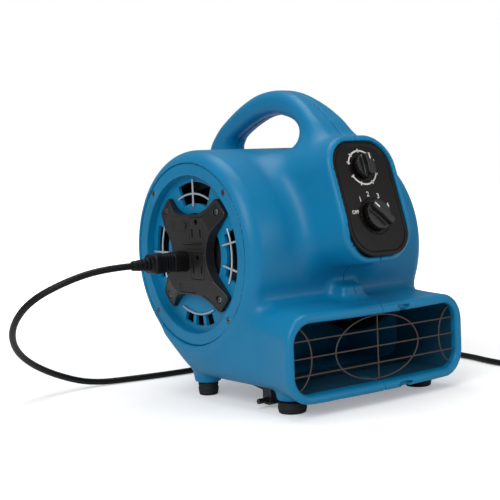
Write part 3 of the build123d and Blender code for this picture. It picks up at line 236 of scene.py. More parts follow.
def give(obj, slot, body="housing", replaces=(), material=None):
    """Finish a new piece: its material, the body that it rides on and the nodes that it stands for."""
    obj.data.materials.clear()
    obj.data.materials.append(material or LOOKS[slot])
    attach(obj, body)
    if replaces:
        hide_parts(*replaces)


# ---------------------------------------------------------------- distance fields
def fuse(a, b, k):
    """Two solids as one, with a concave blend about k wide between them."""
    h = np.clip(0.5 + 0.5 * (b - a) / k, 0, 1)
    return b * (1 - h) + a * h - k * h * (1 - h)


def trim(a, b, r):
    """What two solids share, its convex edge rounded to radius r."""
    return np.minimum(np.maximum(a, b), -r) + np.hypot(np.maximum(a + r, 0), np.maximum(b + r, 0))


def oblong(u, v, half_u, half_v, corner):
    """Distance to a rounded rectangle in the plane."""
    a = np.abs(u) - half_u + corner
    b = np.abs(v) - half_v + corner
    return np.minimum(np.maximum(a, b), 0) + np.hypot(np.maximum(a, 0), np.maximum(b, 0)) - corner


def slab(u, low, high):
    return np.abs(u - (low + high) / 2) - (high - low) / 2


DRAW_STEPS = 2


def mesh_of(name, field, low, high, pitch):
    """The surface where field(x, y, z) is zero: one vertex in each crossed cell, drawn onto the surface."""
    counts = [max(3, int(math.ceil((h - l) / pitch)) + 1) for l, h in zip(low, high)]
    axes = [l + pitch * np.arange(c) for l, c in zip(low, counts)]
    sampled = field(axes[0][:, None, None], axes[1][None, :, None], axes[2][None, None, :])
    grid = np.broadcast_to(sampled.astype(np.float32), counts)
    inside = grid < 0
    cells = [c - 1 for c in counts]
    total = cells[0] * cells[1] * cells[2]
    sums = np.zeros((3, total))
    hits = np.zeros(total)
    quads = []
    strides = (cells[1] * cells[2], cells[2], 1)
    for axis in range(3):
        near = [slice(None)] * 3
        far = [slice(None)] * 3
        near[axis] = slice(0, -1)
        far[axis] = slice(1, None)
        crossed = inside[tuple(near)] != inside[tuple(far)]
        other = [i for i in range(3) if i != axis]
        for i in other:
            edge = [slice(None)] * 3
            edge[i] = 0
            crossed[tuple(edge)] = False
            edge[i] = -1
            crossed[tuple(edge)] = False
        at = np.argwhere(crossed)
        f0 = grid[tuple(near)][crossed]
        f1 = grid[tuple(far)][crossed]
        point = [axes[i][at[:, i]].astype(float) for i in range(3)]
        point[axis] += pitch * f0 / (f0 - f1)
        around = []
        for da, db in ((0, 0), (-1, 0), (-1, -1), (0, -1)):
            cell = at.copy()
            cell[:, other[0]] += da
            cell[:, other[1]] += db
            index = cell @ np.array(strides)
            around.append(index)
            hits += np.bincount(index, minlength=total)
            for i in range(3):
                sums[i] += np.bincount(index, weights=point[i], minlength=total)
        faces = np.stack(around, 1)
        flip = (f0 < 0) == (axis == 1)
        faces[flip] = faces[flip][:, ::-1]
        quads.append(faces)
    used = np.flatnonzero(hits)
    index_of = np.full(total, -1)
    index_of[used] = np.arange(len(used))
    points = (sums[:, used] / hits[used]).T
    start = points.copy()
    small = 0.02 * pitch

    def slope(p):
        centre = field(p[:, 0], p[:, 1], p[:, 2])
        rises = []
        for i in range(3):
            q = p.copy()
            q[:, i] += small
            rises.append((field(q[:, 0], q[:, 1], q[:, 2]) - centre) / small)
        return centre, np.stack(rises, 1)

    for _ in range(DRAW_STEPS):
        value, rise = slope(points)
        length = np.maximum((rise ** 2).sum(1), 0.05)
        points = points - (value / length)[:, None] * rise
        points = start + np.clip(points - start, -0.9 * pitch, 0.9 * pitch)
    value, rise = slope(points)
    faces = index_of[np.vstack(quads)]
    mesh = bpy.data.meshes.new(name)
    mesh.from_pydata((points * MM + np.array([0, AXIS_Y, 0])).tolist(), [], faces.tolist())
    mesh.update()
    mesh.shade_smooth()
    normals = rise / np.maximum(np.linalg.norm(rise, axis=1), 1e-6)[:, None]
    mesh.normals_split_custom_set_from_vertices(normals.tolist())
    return put(name, mesh)


# ---------------------------------------------------------------- housing
DRUM_R, HALF_WIDTH, RIM_ROUND, WALL = 96.0, 107.0, 15.0, 3.0
DUCT_ROOT_Y, LIP_Y, LIP_BOW_R = -90.0, -145.5, 1296.0
PANEL_Y, PANEL_Z, PANEL_TILT = -134.0, 183.4, math.radians(18.8)
PANEL_HALF_W, PANEL_HALF_H, PANEL_CORNER = 35.0, 53.3, 25.0
# Each row: y and z of the handle's outer edge, y and z of its inner edge, and its width.
HANDLE_SECTIONS = np.array((
    (97.0, 158.0, 58.0, 158.0, 36.0),
    (101.0, 190.0, 59.0, 190.0, 34.0),
    (100.5, 216.0, 60.0, 214.0, 32.0),
    (93.0, 239.0, 61.0, 231.0, 30.0),
    (80.0, 252.5, 58.0, 240.0, 29.0),
    (65.0, 263.0, 52.0, 245.5, 28.0),
    (42.0, 275.0, 33.0, 254.5, 28.0),
    (15.0, 284.5, 11.0, 261.8, 28.0),
    (-12.0, 287.0, -11.0, 264.0, 28.0),
    (-35.0, 283.5, -30.0, 261.0, 30.0),
    (-55.0, 275.0, -48.0, 255.5, 34.0),
    (-73.0, 263.0, -58.0, 248.0, 41.0),
    (-91.0, 247.0, -60.0, 237.0, 51.0),
    (-104.0, 224.0, -62.0, 214.0, 62.0),
))
# y and z of each pocket for a seam screw, and the x of its floor.
SEAM_SCREWS = ((-80.0, 243.0, 16.0), (74.0, 222.0, 9.0), (-99.0, 98.0, 8.0), (76.0, 74.0, 9.0))
FRONT_FOOT, REAR_FOOT = (78.0, -108.5), (80.0, 15.0)


def panel_frame(y, z):
    """v up along the control panel and w out of it, from y and z."""
    c, s = math.cos(PANEL_TILT), math.sin(PANEL_TILT)
    return (y - PANEL_Y) * s + (z - PANEL_Z) * c, (z - PANEL_Z) * s - (y - PANEL_Y) * c


def drum(x, y, z, inset):
    a = np.abs(x) - (HALF_WIDTH - RIM_ROUND)
    b = np.hypot(y, z - AXIS_Z) - (DRUM_R - RIM_ROUND)
    return np.minimum(np.maximum(a, b), 0) + np.hypot(np.maximum(a, 0), np.maximum(b, 0)) - RIM_ROUND + inset


def duct(x, y, z, inset):
    """Straight duct under the drum, flaring into the nozzle."""
    s = np.clip((DUCT_ROOT_Y - y) / 57.5, 0, 1.05)
    half_w = 102.0 - 1.7 * s + 9.4 * s * s
    bottom = 19.0 - 6.1 * s - 3.8 * s * s
    top = 93.0 - 5.9 * s + 1.8 * s * s
    corner = 20.0 + 5.0 * s + 2.0 * s * s
    across = oblong(x, z - (bottom + top) / 2, half_w, (top - bottom) / 2, corner) + inset
    slope = ((y - 12.0) * 40.0 - (z - 19.0) * 34.0) / 52.5 + inset
    rear = np.maximum(slope, y - 46.0 + inset)
    return trim(across, rear, 6.0)


def lip_front(x, y):
    """How far a point lies in front of the nozzle's bowed lip."""
    return LIP_Y + x * x / (2 * LIP_BOW_R) - y


def passage(x, y, z):
    """The way out of the nozzle."""
    t = np.clip((DUCT_ROOT_Y - y) / 57.5, 0, 1.1)
    bottom = 22.0 - 3.2 * t
    top = 90.0 - 10.8 * t
    return np.maximum(oblong(x, z - (bottom + top) / 2, 99.0 - 0.3 * t, (top - bottom) / 2, 17.0 + 0.7 * t),
                      y - DUCT_ROOT_Y - 2)


def pod(x, y, z, inset, face):
    """Control pod behind the panel, widening towards the drum."""
    v, w = panel_frame(y, z)
    s = np.clip((2.2 - w) / 72.0, 0, 1.3)
    sides = oblong(x, v - 13.4 * s, 41.0 + 15.0 * s * s, 59.3 - 2.0 * s, 31.0) + inset
    return trim(trim(sides, w - face, 5.0), -w - 78.0, 8.0)


def smooth_line(rows, parts):
    """Points along a smooth curve through the rows."""
    out = []
    ext = np.vstack([2 * rows[0] - rows[1], rows, 2 * rows[-1] - rows[-2]])
    for a, b, c, d in zip(ext, ext[1:], ext[2:], ext[3:]):
        for k in range(parts):
            t = k / parts
            out.append(0.5 * (2 * b + (c - a) * t + (2 * a - 5 * b + 4 * c - d) * t * t
                              + (3 * b - a - 3 * c + d) * t ** 3))
    out.append(rows[-1])
    return np.array(out)


HANDLE_LINE = smooth_line(HANDLE_SECTIONS, 8)
HANDLE_EYE = np.array((0.0, 214.0))     # the handle goes round this point, seen from the side


def round_eye(first):
    """Angle about the middle of the handle's opening, and distance from it, of one edge of the handle."""
    edge = HANDLE_LINE[:, first:first + 2] - HANDLE_EYE
    return np.unwrap(np.arctan2(edge[:, 1], edge[:, 0])), np.hypot(edge[:, 0], edge[:, 1])


def handle(x, y, z):
    """Carrying handle: a rounded bar round its opening, thicker and wider towards the pod."""
    angle = np.arctan2(z - HANDLE_EYE[1], y - HANDLE_EYE[0])
    angle = np.where(angle < -math.pi / 2, angle + 2 * math.pi, angle)
    outer, inner = np.interp(angle, *round_eye(0)), np.interp(angle, *round_eye(2))
    off = np.abs(np.hypot(y - HANDLE_EYE[0], z - HANDLE_EYE[1]) - (outer + inner) / 2)
    thick = (outer - inner) / 2
    wide = np.interp(angle, round_eye(0)[0], HANDLE_LINE[:, 4] / 2)
    corner = 0.84 * np.minimum(thick, wide)
    a, b = np.abs(x) - wide + corner, off - thick + corner
    return np.minimum(np.maximum(a, b), 0) + np.hypot(np.maximum(a, 0), np.maximum(b, 0)) - corner


def housing_outside(x, y, z):
    d = fuse(drum(x, y, z, 0), duct(x, y, z, 0), 16.0)
    d = fuse(d, pod(x, y, z, 0, 2.2), 16.0)
    d = fuse(d, handle(x, y, z), 15.0)
    neck = trim(oblong(x, y + 95.0, 13.0, 14.0, 5.0), z - 104.0, 4.0)
    d = fuse(d, neck, 11.0)
    back_lug = trim(np.hypot(y - 76.0, z - 74.0) - 9.0, np.abs(x) - 14.0, 2.5)
    d = fuse(d, back_lug, 6.0)
    ax = np.abs(x)
    front_boss = np.maximum(np.hypot(ax - FRONT_FOOT[0], y - FRONT_FOOT[1]) - 13.8, slab(z, 10.0, 24.0))
    cone = np.hypot(ax - REAR_FOOT[0], y - REAR_FOOT[1]) - 12.1 - (z - 12.0) * 5.0 / 29.0
    rear_boss = np.maximum(cone, slab(z, 12.0, 41.0))
    d = fuse(fuse(d, front_boss, 4.0), rear_boss, 7.0)
    d = trim(d, np.maximum(10.0 - z, lip_front(x, y)), 5.0)
    d = np.maximum(d, np.where(y < -60.0, -50.0, 12.0 - z))
    return trim(d, np.abs(x) - 107.7, 2.0)


def housing_hollow(x, y, z):
    thicker_rim = (np.abs(x) + np.hypot(y, z - AXIS_Z)) / math.sqrt(2.0) - 131.4
    d = np.minimum(np.maximum(drum(x, y, z, WALL), thicker_rim), duct(x, y, z, WALL))
    d = np.maximum(d, -y - 92.0)
    d = np.minimum(d, passage(x, y, z))
    inner_pod = np.maximum(pod(x, y, z, 6.0, -3.8), -drum(x, y, z, 0))
    return np.minimum(d, inner_pod)


def housing(x, y, z):
    outside = housing_outside(x, y, z)
    mouth = np.where(y < -126.0, 4.4, 1.2)
    d = trim(outside, -housing_hollow(x, y, z), mouth)
    r = np.hypot(y, z - AXIS_Z)
    # left: seat for the motor cover, and the ledge behind it
    d = trim(d, -np.maximum(r - 84.5, x + 102.5), 1.0)
    d = np.minimum(d, np.maximum(np.maximum(77.0 - r, r - 89.6), slab(x, -102.5, -99.5)))
    # right: deep recess for the inlet grille, its wall and its ledge
    recess_wall = np.maximum(np.maximum(81.0 - r, r - 84.0), slab(x, 91.0, 105.0))
    ledge = np.maximum(np.maximum(73.0 - r, r - 92.5), slab(x, 91.0, 94.0))
    d = np.minimum(d, np.minimum(recess_wall, ledge))
    d = trim(d, -np.maximum(r - 81.0, 94.0 - x), 1.4)
    for angle in (90, -30, -150):
        c, s = math.cos(math.radians(angle)), math.sin(math.radians(angle))
        out, side = y * c + (z - AXIS_Z) * s, (z - AXIS_Z) * c - y * s
        notch = np.maximum(np.maximum(np.abs(side) - 7.0, np.abs(out - 60.0) - 27.0), 94.0 - x)
        d = np.maximum(d, -notch)
    # pod: sunk seat for the panel and the opening behind it
    v, w = panel_frame(y, z)
    seat = np.maximum(oblong(x, v, PANEL_HALF_W + 0.3, PANEL_HALF_H + 0.3, PANEL_CORNER), -3.0 - w)
    d = trim(d, -seat, 1.2)
    d = np.maximum(d, -np.maximum(oblong(x, v, 27.0, 45.0, 14.0), np.abs(w + 6.0) - 7.0))
    for sy, sz, seat_x in SEAM_SCREWS:
        pocket = np.maximum(np.hypot(y - sy, z - sz) - 4.6, seat_x - x)
        d = trim(d, -pocket, 0.6)
    # finger marks in the lip
    for mark_z in (84.0, 14.2):
        up_arc = np.hypot(x - 26.0, z - mark_z - 20.2) - 22.0
        down_arc = np.hypot(x - 26.0, z - mark_z + 20.2) - 22.0
        lens = np.maximum(np.maximum(up_arc, down_arc), -lip_front(x, y) - 3.5)
        d = np.maximum(d, -lens)
    return d


HOUSING_PITCH = 2.0
# Painted shade inside the housing: its inner faces take a darker copy of the blue, behind UNLIT_Y all through
# the duct, and behind DUCT_END_Y inside UNLIT_R only.
UNLIT_Y, DUCT_END_Y, UNLIT_R = -134.0, -60.0, 91.0
INSIDE_MARGIN = 0.4
for side, node in ((-1, "left_shell"), (1, "right_shell")):
    def shell(x, y, z, side=side):
        return trim(housing(x, y, z), 0.04 - side * x, 0.3)

    low = (-109.0 if side < 0 else -1.6, -149.0, 6.5)
    high = (1.6 if side < 0 else 109.0, 104.0, 290.0)
    piece = mesh_of("housing_" + ("left" if side < 0 else "right"), shell, low, high, HOUSING_PITCH)
    give(piece, "blue_housing", "housing", (node,))
    # Second slot: the darker blue of painted shade, given below to the inner faces.
    piece.data.materials.append(PAINTED_SHADE_INSIDE)
    middles = np.zeros(3 * len(piece.data.polygons))
    piece.data.polygons.foreach_get("center", middles)
    px, py, pz = (middles.reshape(-1, 3) / MM - np.array([0, AXIS_Y / MM, 0])).T
    deep = (py < DUCT_END_Y) | (np.hypot(py, pz - AXIS_Z) < UNLIT_R)
    deep &= (housing_hollow(px, py, pz) < INSIDE_MARGIN) & (py > UNLIT_Y)
    piece.data.polygons.foreach_set("material_index", deep.astype(np.int32))


# ---------------------------------------------------------------- lead
LEAD_R = 3.1
LEAD_POINTS = (
    (-160.0, 11.0, 129.5), (-190.0, 11.0, 129.5), (-224.0, 15.0, 122.0), (-252.0, 33.0, 106.0),
    (-255.0, 64.0, 82.0), (-240.0, 95.0, 58.0), (-214.0, 119.0, 37.0), (-178.0, 134.0, 18.0),
    (-138.0, 138.0, 3.6), (-95.0, 128.0, 3.2), (-40.0, 119.0, 3.2), (20.0, 121.0, 3.2), (85.0, 127.0, 3.2),
    (145.0, 110.0, 3.2), (190.0, 70.0, 3.2), (215.0, 15.0, 3.2), (217.0, -45.0, 3.2), (202.0, -100.0, 3.2),
    (208.0, -136.0, 3.2), (234.0, -152.0, 3.2),
)
TAIL_POINTS = ((313.0, -226.0, 10.5), (306.0, -256.0, 11.5))
COIL_AT, COIL_R = (268.0, -200.0), 37.0
TURN_PITCH, TURNS_WIDE, LAYER_Z = 6.3, 4, (3.2, 9.5)
POINTS_PER_TURN = 14


def coil_points():
    """The put-away turns: one flat layer wound inwards on the floor, and one wound outwards on top of it."""
    steps = [TURN_PITCH * (TURNS_WIDE - 1) / 2 - TURN_PITCH * k for k in range(TURNS_WIDE)]
    seats = [(dr, LAYER_Z[0]) for dr in steps] + [(dr, LAYER_Z[1]) for dr in reversed(steps)]
    seats.append(seats[-1])
    points = []
    for k in range(int(POINTS_PER_TURN * (2 * TURNS_WIDE + 0.25)) + 1):
        turn = k / POINTS_PER_TURN
        here, after = seats[int(turn)], seats[min(int(turn) + 1, len(seats) - 1)]
        t = min(max((turn % 1 - 0.6) / 0.4, 0), 1)
        t = t * t * (3 - 2 * t)
        climb = math.sin(math.pi * t) * TURN_PITCH * 0.5 if here[1] != after[1] else 0.0
        r = COIL_R + here[0] + (after[0] - here[0]) * t - climb
        z = here[1] + (after[1] - here[1]) * t
        angle = math.pi / 2 - 2 * math.pi * turn
        points.append((COIL_AT[0] + r * math.cos(angle), COIL_AT[1] + r * math.sin(angle), z))
    return points


def spline_of(name, points, half_diameter):
    """A smooth cord through its control points, given in the layout's millimetres."""
    curve = bpy.data.curves.new(name, "CURVE")
    curve.dimensions = "3D"
    line = curve.splines.new("NURBS")
    line.points.add(len(points) - 1)
    for target, point in zip(line.points, points):
        target.co = (*place(*point), 1)
    line.order_u = 3
    line.use_endpoint_u = True
    line.resolution_u = 6
    curve.bevel_depth = half_diameter * MM
    curve.bevel_resolution = 4
    curve.use_fill_caps = True
    return put(name, curve)


lead = spline_of("mains_flex", list(LEAD_POINTS) + coil_points() + list(TAIL_POINTS), LEAD_R)
give(lead, "cord_rubber", "housing", ("mains_lead", "lead_coil", "lead_tail"))


# ---------------------------------------------------------------- wires
def wires_of(name, lines, half_diameter, closed=()):
    """Round wires along polylines given in the layout's millimetres."""
    curve = bpy.data.curves.new(name, "CURVE")
    curve.dimensions = "3D"
    for number, points in enumerate(lines):
        line = curve.splines.new("POLY")
        line.points.add(len(points) - 1)
        for target, point in zip(line.points, points):
            target.co = (*place(*point), 1)
        line.use_cyclic_u = number in closed
    curve.bevel_depth = half_diameter * MM
    curve.bevel_resolution = 3
    curve.use_fill_caps = True
    return put(name, curve)


def arc(radius, start, stop, x, count=24):
    """Points round the fan axis from one angle to another, in degrees from +Y towards +Z."""
    return [(x, radius * math.cos(math.radians(a)), AXIS_Z + radius * math.sin(math.radians(a)))
            for a in np.linspace(start, stop, count)]


GUARD_X, GUARD_RING_R, GUARD_WIRE_R = -98.1, 56.0, 0.95
GUARD_SPOKE = (44.5, 57.0, 69.5)     # distances of a cross wire's points from the fan axis
guard_lines = []
for middle, radials in ((0, (0,)), (90, (0,)), (180, (-12, 12)), (270, ())):
    guard_lines.append(arc(GUARD_RING_R, middle - 26, middle + 26, GUARD_X))
    for offset in radials:
        turn = math.radians(middle + offset)
        guard_lines.append([(GUARD_X - 0.6, r * math.cos(turn), AXIS_Z + r * math.sin(turn))
                            for r in GUARD_SPOKE])
guards = wires_of("window_wires", guard_lines, GUARD_WIRE_R)
give(guards, "guard_wire", "housing", ("window_guards",))

OUTLET_WIRE_Y, OUTLET_WIRE_R = -136.85, 0.72
OVAL_Z, OVAL_H = 50.5, 28.5


def passage_half_width(z):
    """Half width of the nozzle's passage at the outlet grille, at height z."""
    xs = np.linspace(60, 105, 451)
    return float(xs[np.argmax(passage(xs, OUTLET_WIRE_Y, z) > 0)])


outlet_lines, oval_closed = [], []
for z in (66.0, 51.0, 36.0):
    half = passage_half_width(z)
    outlet_lines.append([(x, OUTLET_WIRE_Y, z) for x in np.linspace(-half, half, 9)])
outlet_lines.append([(0.0, OUTLET_WIRE_Y + 0.2, z) for z in np.linspace(19.6, 80.6, 7)])
turns = np.linspace(0, 2 * math.pi, 72, endpoint=False)
oval_closed.append(len(outlet_lines))
outlet_lines.append([(50.5 * math.cos(a), OUTLET_WIRE_Y - 0.1, OVAL_Z + OVAL_H * math.sin(a)) for a in turns])
for side in (-1, 1):
    end = []
    for a in np.linspace(-math.pi / 2, math.pi / 2, 60):
        x, z = 100.0 - 22.0 * math.cos(a), OVAL_Z + OVAL_H * math.sin(a)
        if passage(np.array([x]), OUTLET_WIRE_Y, z)[0] < 0.3:
            end.append((side * x, OUTLET_WIRE_Y - 0.1, z))
    outlet_lines.append(end)
outlet = wires_of("outlet_wires", outlet_lines, OUTLET_WIRE_R, oval_closed)
give(outlet, "outlet_wire", "housing", ("outlet_grille",))

STAND_WIRE_R = 2.4
stand_rows = np.array([
    (92.0, -78.0, 7.2), (78.0, -78.0, 7.2), (66.0, -78.0, 7.2), (62.4, -76.6, 7.4), (62.0, -73.0, 7.9),
    (62.0, -50.0, 11.2), (62.0, -34.0, 13.7), (61.2, -30.0, 14.3), (58.0, -28.2, 14.6), (40.0, -28.0, 14.6),
    (0.0, -28.0, 14.6),
])
stand_line = [tuple(p) for p in stand_rows] + [(-p[0], p[1], p[2]) for p in stand_rows[-2::-1]]
stand = wires_of("stand_wire_bent", [stand_line], STAND_WIRE_R)
give(stand, "stand_wire", "kickstand", ("kickstand",))

# ---------------------------------------------------------------- controls
panel_right = Vector((1, 0, 0))
panel_up = Vector((0, math.sin(PANEL_TILT), math.cos(PANEL_TILT)))
panel_out = Vector((0, -math.cos(PANEL_TILT), math.sin(PANEL_TILT)))
TIMER_V, SPEED_V = 28.7, -17.0
TIMER_HEIGHT, SPEED_HEIGHT = 12.0, 12.6
SPEED_REST_DEG = 45.0               # the speed knob's pointer, round from straight up towards OFF
PRINT_W, PRINT_DEPTH = -0.45, 0.12  # how far out printed faces lie, and how thick a print is
POINTER_LIFT = 0.08


def on_panel(u, v, w=0.0):
    """A point on the control panel, in the row frame."""
    return place(0, PANEL_Y, PANEL_Z) + (panel_right * u + panel_up * v + panel_out * w) * MM


def plate(x, y, z):
    """Control panel: a plate with a raised bevelled border and a soft dish round each knob."""
    v, w = panel_frame(y, z)
    edge = oblong(x, v, PANEL_HALF_W, PANEL_HALF_H, PANEL_CORNER)
    top = w + 0.55 * np.clip((-edge - 3.2) / 1.2, 0, 1)
    d = trim(trim(edge, top, 0.8), -3.0 - w, 0.3)
    for at, radius in ((TIMER_V, 13.2), (SPEED_V, 16.4)):
        r = np.hypot(x, v - at)
        groove = np.hypot(r - radius, w + 0.4) - 0.5
        d = np.maximum(d, -groove)
        d = np.maximum(d, -(r - 3.08))
    return d


panel = mesh_of("control_plate", plate, (-37, -157, 128), (37, -112, 238), 0.9)
give(panel, "control_panel", "housing", ("control_panel",))


def knob_field(at, radius, height, half_grip, turn, skirt):
    """Knob with a fluted skirt and a waisted bar grip."""
    c, s = math.cos(math.radians(turn)), math.sin(math.radians(turn))

    def field(x, y, z):
        v, w = panel_frame(y, z)
        v = v - at
        r = np.hypot(x, v)
        a = np.arctan2(v, x)
        flute = 0.28 * np.cos(a * 24) * np.clip((r - radius + 3) / 3, 0, 1)
        body = trim(r - radius + 0.35 + flute, np.abs(w - 0.8 - skirt / 2) - skirt / 2, 0.9)
        across, along = x * c + v * s, v * c - x * s
        taper = 0.5 * np.clip((w - skirt) / 6, 0, 1)
        waist = 0.7 * np.clip(1 - np.abs(along) / (0.7 * radius), 0, 1)
        grip = oblong(across, along, half_grip - taper - waist, radius - 0.7 - taper, (half_grip - 1.2) * 0.9)
        grip = trim(grip, np.abs(w - (height + skirt) / 2) - (height - skirt) / 2, 1.1)
        d = fuse(body, grip, 1.6)
        return np.maximum(d, -np.maximum(r - 3.0, w - height + 4.0))

    return field


for name, at, radius, height, half_grip, turn, skirt in (
    ("timer", TIMER_V, 11.0, TIMER_HEIGHT, 4.5, 0.0, 5.4),
    ("speed", SPEED_V, 14.0, SPEED_HEIGHT, 4.2, SPEED_REST_DEG, 5.6),
):
    centre = on_panel(0, at, 8)
    mid = (0.0, (centre.y - AXIS_Y) / MM, centre.z / MM)
    low = [m - radius - 3 for m in mid]
    high = [m + radius + 3 for m in mid]
    shape = knob_field(at, radius, height, half_grip, turn, skirt)
    knob = mesh_of(name + "_knob_moulded", shape, low, high, 0.55)
    give(knob, "knob_black", name + "_dial", (name + "_knob",))


def print_strokes(name, strokes, body, out):
    """Printed lines, flat to the control panel: each stroke is a polyline of (u, v) and a width."""
    verts, faces = [], []
    for points, width in strokes:
        pts = np.array(points, float)
        way = np.gradient(pts, axis=0)
        way /= np.maximum(np.linalg.norm(way, axis=1), 1e-9)[:, None]
        side = np.stack([-way[:, 1], way[:, 0]], 1) * width / 2
        first = len(verts)
        for p, q in zip(pts + side, pts - side):
            for u, v in (p, q):
                verts.append(on_panel(u, v, out))
                verts.append(on_panel(u, v, out - PRINT_DEPTH))
        for k in range(len(pts) - 1):
            a, b = first + 4 * k, first + 4 * k + 4
            faces += [(a, a + 2, b + 2, b), (a + 1, b + 1, b + 3, a + 3), (a, b, b + 1, a + 1),
                      (a + 2, a + 3, b + 3, b + 2)]
        end = first + 4 * (len(pts) - 1)
        faces += [(first, first + 1, first + 3, first + 2), (end, end + 2, end + 3, end + 1)]
    mesh = bpy.data.meshes.new(name)
    mesh.from_pydata([tuple(v) for v in verts], [], faces)
    mesh.update()
    give(put(name, mesh), "control_panel", body, (), PRINT)


def ring_stroke(at, radius, start, stop, width, count=40):
    return ([(radius * math.cos(math.radians(a)), at + radius * math.sin(math.radians(a)))
             for a in np.linspace(start, stop, count)], width)


def radial_stroke(at, angle, inner, outer, width):
    c, s = math.cos(math.radians(angle)), math.sin(math.radians(angle))
    return ([(r * c, at + r * s) for r in np.linspace(inner, outer, 3)], width)


marks = [ring_stroke(TIMER_V, 15.8, 20, 168, 1.5), ring_stroke(TIMER_V, 15.8, 206, 340, 1.5)]
for angle in (162, 132, 92, 52, 22, -22, -62, -112, -152):
    marks.append(radial_stroke(TIMER_V, angle, 14.2, 17.8, 1.3))
marks.append(radial_stroke(SPEED_V, -8, 18.4, 21.6, 1.0))
print_strokes("panel_lines", marks, "housing", PRINT_W)


def numeral(text, u, v, size):
    """One printed number on the control panel."""
    font = bpy.data.curves.new("numeral_" + text, "FONT")
    font.body = text
    font.size = size * MM
    font.align_x = "CENTER"
    font.align_y = "CENTER"
    font.extrude = 0.00006
    font.offset = 0.00008
    font.resolution_u = 4
    obj = put("numeral_" + text + "_" + str(int(u * 10)).replace("-", "m"), font)
    facing = Matrix((panel_right, panel_up, panel_out)).transposed().to_4x4()
    obj.matrix_world = Matrix.Translation(on_panel(u, v, PRINT_W)) @ facing
    give(obj, "control_panel", "housing", (), PRINT)


for text, angle in (("OFF", 168), ("1", 128), ("2", 96), ("3", 62), ("4", 26)):
    radius = 22.5 if text == "OFF" else 20.5
    c, s = math.cos(math.radians(angle)), math.sin(math.radians(angle))
    numeral(text, radius * c, SPEED_V + radius * s, 4.6 if text == "OFF" else 6.6)
timer_line = [(0, TIMER_V + t) for t in (4.0, 9.4)]
print_strokes("timer_pointer", [(timer_line, 1.3)], "timer_dial", TIMER_HEIGHT + POINTER_LIFT)
tip_c = math.cos(math.radians(SPEED_REST_DEG))
speed_line = [(-t * tip_c, SPEED_V + t * tip_c) for t in (6.5, 12.2)]
print_strokes("speed_pointer", [(speed_line, 1.5)], "speed_dial", SPEED_HEIGHT + POINTER_LIFT)

# ---------------------------------------------------------------- power panel and its fittings
PANEL_FACE_X, DISH_X = -107.0, -97.0
ARM_ANGLES, ARM_HOLE_R = (45, 135, 225, 315), 56.0
SOCKETS, SOCKET_Y = (("upper", 159.0), ("lower", 126.0)), -14.0
BLADE_HALF_PITCH, SLOT_FLOOR_X = 6.35, -100.0
GRIP_AT = (11.0, 129.5)      # y and z of the lead's strain relief


def power_box(x, y, z):
    """X-shaped box over the motor's bore."""
    p, q = y, z - AXIS_Z
    box = oblong(p, q, 27.0, 37.0, 3.0)
    c = math.sqrt(0.5)
    for s in (1, -1):
        along, across = (p + s * q) * c, (q - s * p) * c
        box = fuse(box, oblong(along, across, 64.0, 10.5, 3.5), 9.0)
    r = np.hypot(p, q)
    slope = (r - 44.0 - (x - PANEL_FACE_X) * 3.5) / 3.64
    rib = np.clip(np.minimum(np.minimum(-box - 1.6, r - 40.0), 1.0), 0, 1) * 0.7
    d = trim(trim(box, np.maximum(PANEL_FACE_X - x, slope + rib), 1.1), x - DISH_X, 0.2)
    room = np.maximum(oblong(p, q, 24.5, 34.5, 2.0), PANEL_FACE_X + 2.5 - x)
    d = np.maximum(d, -room)
    for angle in ARM_ANGLES:
        a, b = ARM_HOLE_R * math.cos(math.radians(angle)), ARM_HOLE_R * math.sin(math.radians(angle))
        hole = np.hypot(p - a, q - b)
        d = trim(d, -np.maximum(hole - 3.3, x + 100.5), 0.4)
        d = np.maximum(d, 1.5 - hole)
    for _, at in reversed(SOCKETS):
        d = trim(d, -oblong(p - SOCKET_Y, z - at, 10.6, 12.1, 3.0), 0.4)
    d = trim(d, -(np.hypot(p - 5.0, z - 163.0) - 5.05), 0.5)
    grip_seat = np.maximum(oblong(p - GRIP_AT[0], z - GRIP_AT[1], 11.05, 9.05, 5.0), x - PANEL_FACE_X - 3.5)
    d = trim(d, -grip_seat, 0.4)
    # bare label fields, sunk a little
    for py, pz, half_y, half_z in ((1.0, 142.6, 22.5, 3.0), (16.5, 163.0, 6.5, 5.5), (2.0, 105.5, 13.0, 4.6)):
        field = np.maximum(oblong(p - py, z - pz, half_y, half_z, 1.0), x - PANEL_FACE_X - 0.35)
        d = trim(d, -field, 0.25)
    return d


box_piece = mesh_of("power_box", power_box, (-108.5, -66, 70), (-95.5, 66, 202), 0.8)
give(box_piece, "black_plastic", "housing", ("power_panel",))


def socket_face(at):
    """Face of an outlet: two blade slots, with the earth hole over them."""
    def field(x, y, z):
        p, q = y - SOCKET_Y, z - at
        edge = oblong(p, q, 10.45, 11.95, 3.0)
        d = trim(edge, np.maximum(PANEL_FACE_X - x, x + 97.4), 0.7)
        for s in (-1, 1):
            blade = oblong(p + s * BLADE_HALF_PITCH, q + 3.0, 0.95, 3.75, 0.3)
            d = trim(d, -np.maximum(blade, x - SLOT_FLOOR_X), 0.3)
        earth = np.maximum(np.hypot(p, q - 7.5) - 2.6, x - SLOT_FLOOR_X)
        return trim(d, -earth, 0.3)
    return field


for name, at in SOCKETS:
    socket = mesh_of(name + "_socket", socket_face(at), (-108, -26, at - 13.5), (-96.5, -2, at + 13.5), 0.55)
    give(socket, "black_plastic", "housing", (name + "_outlet",))


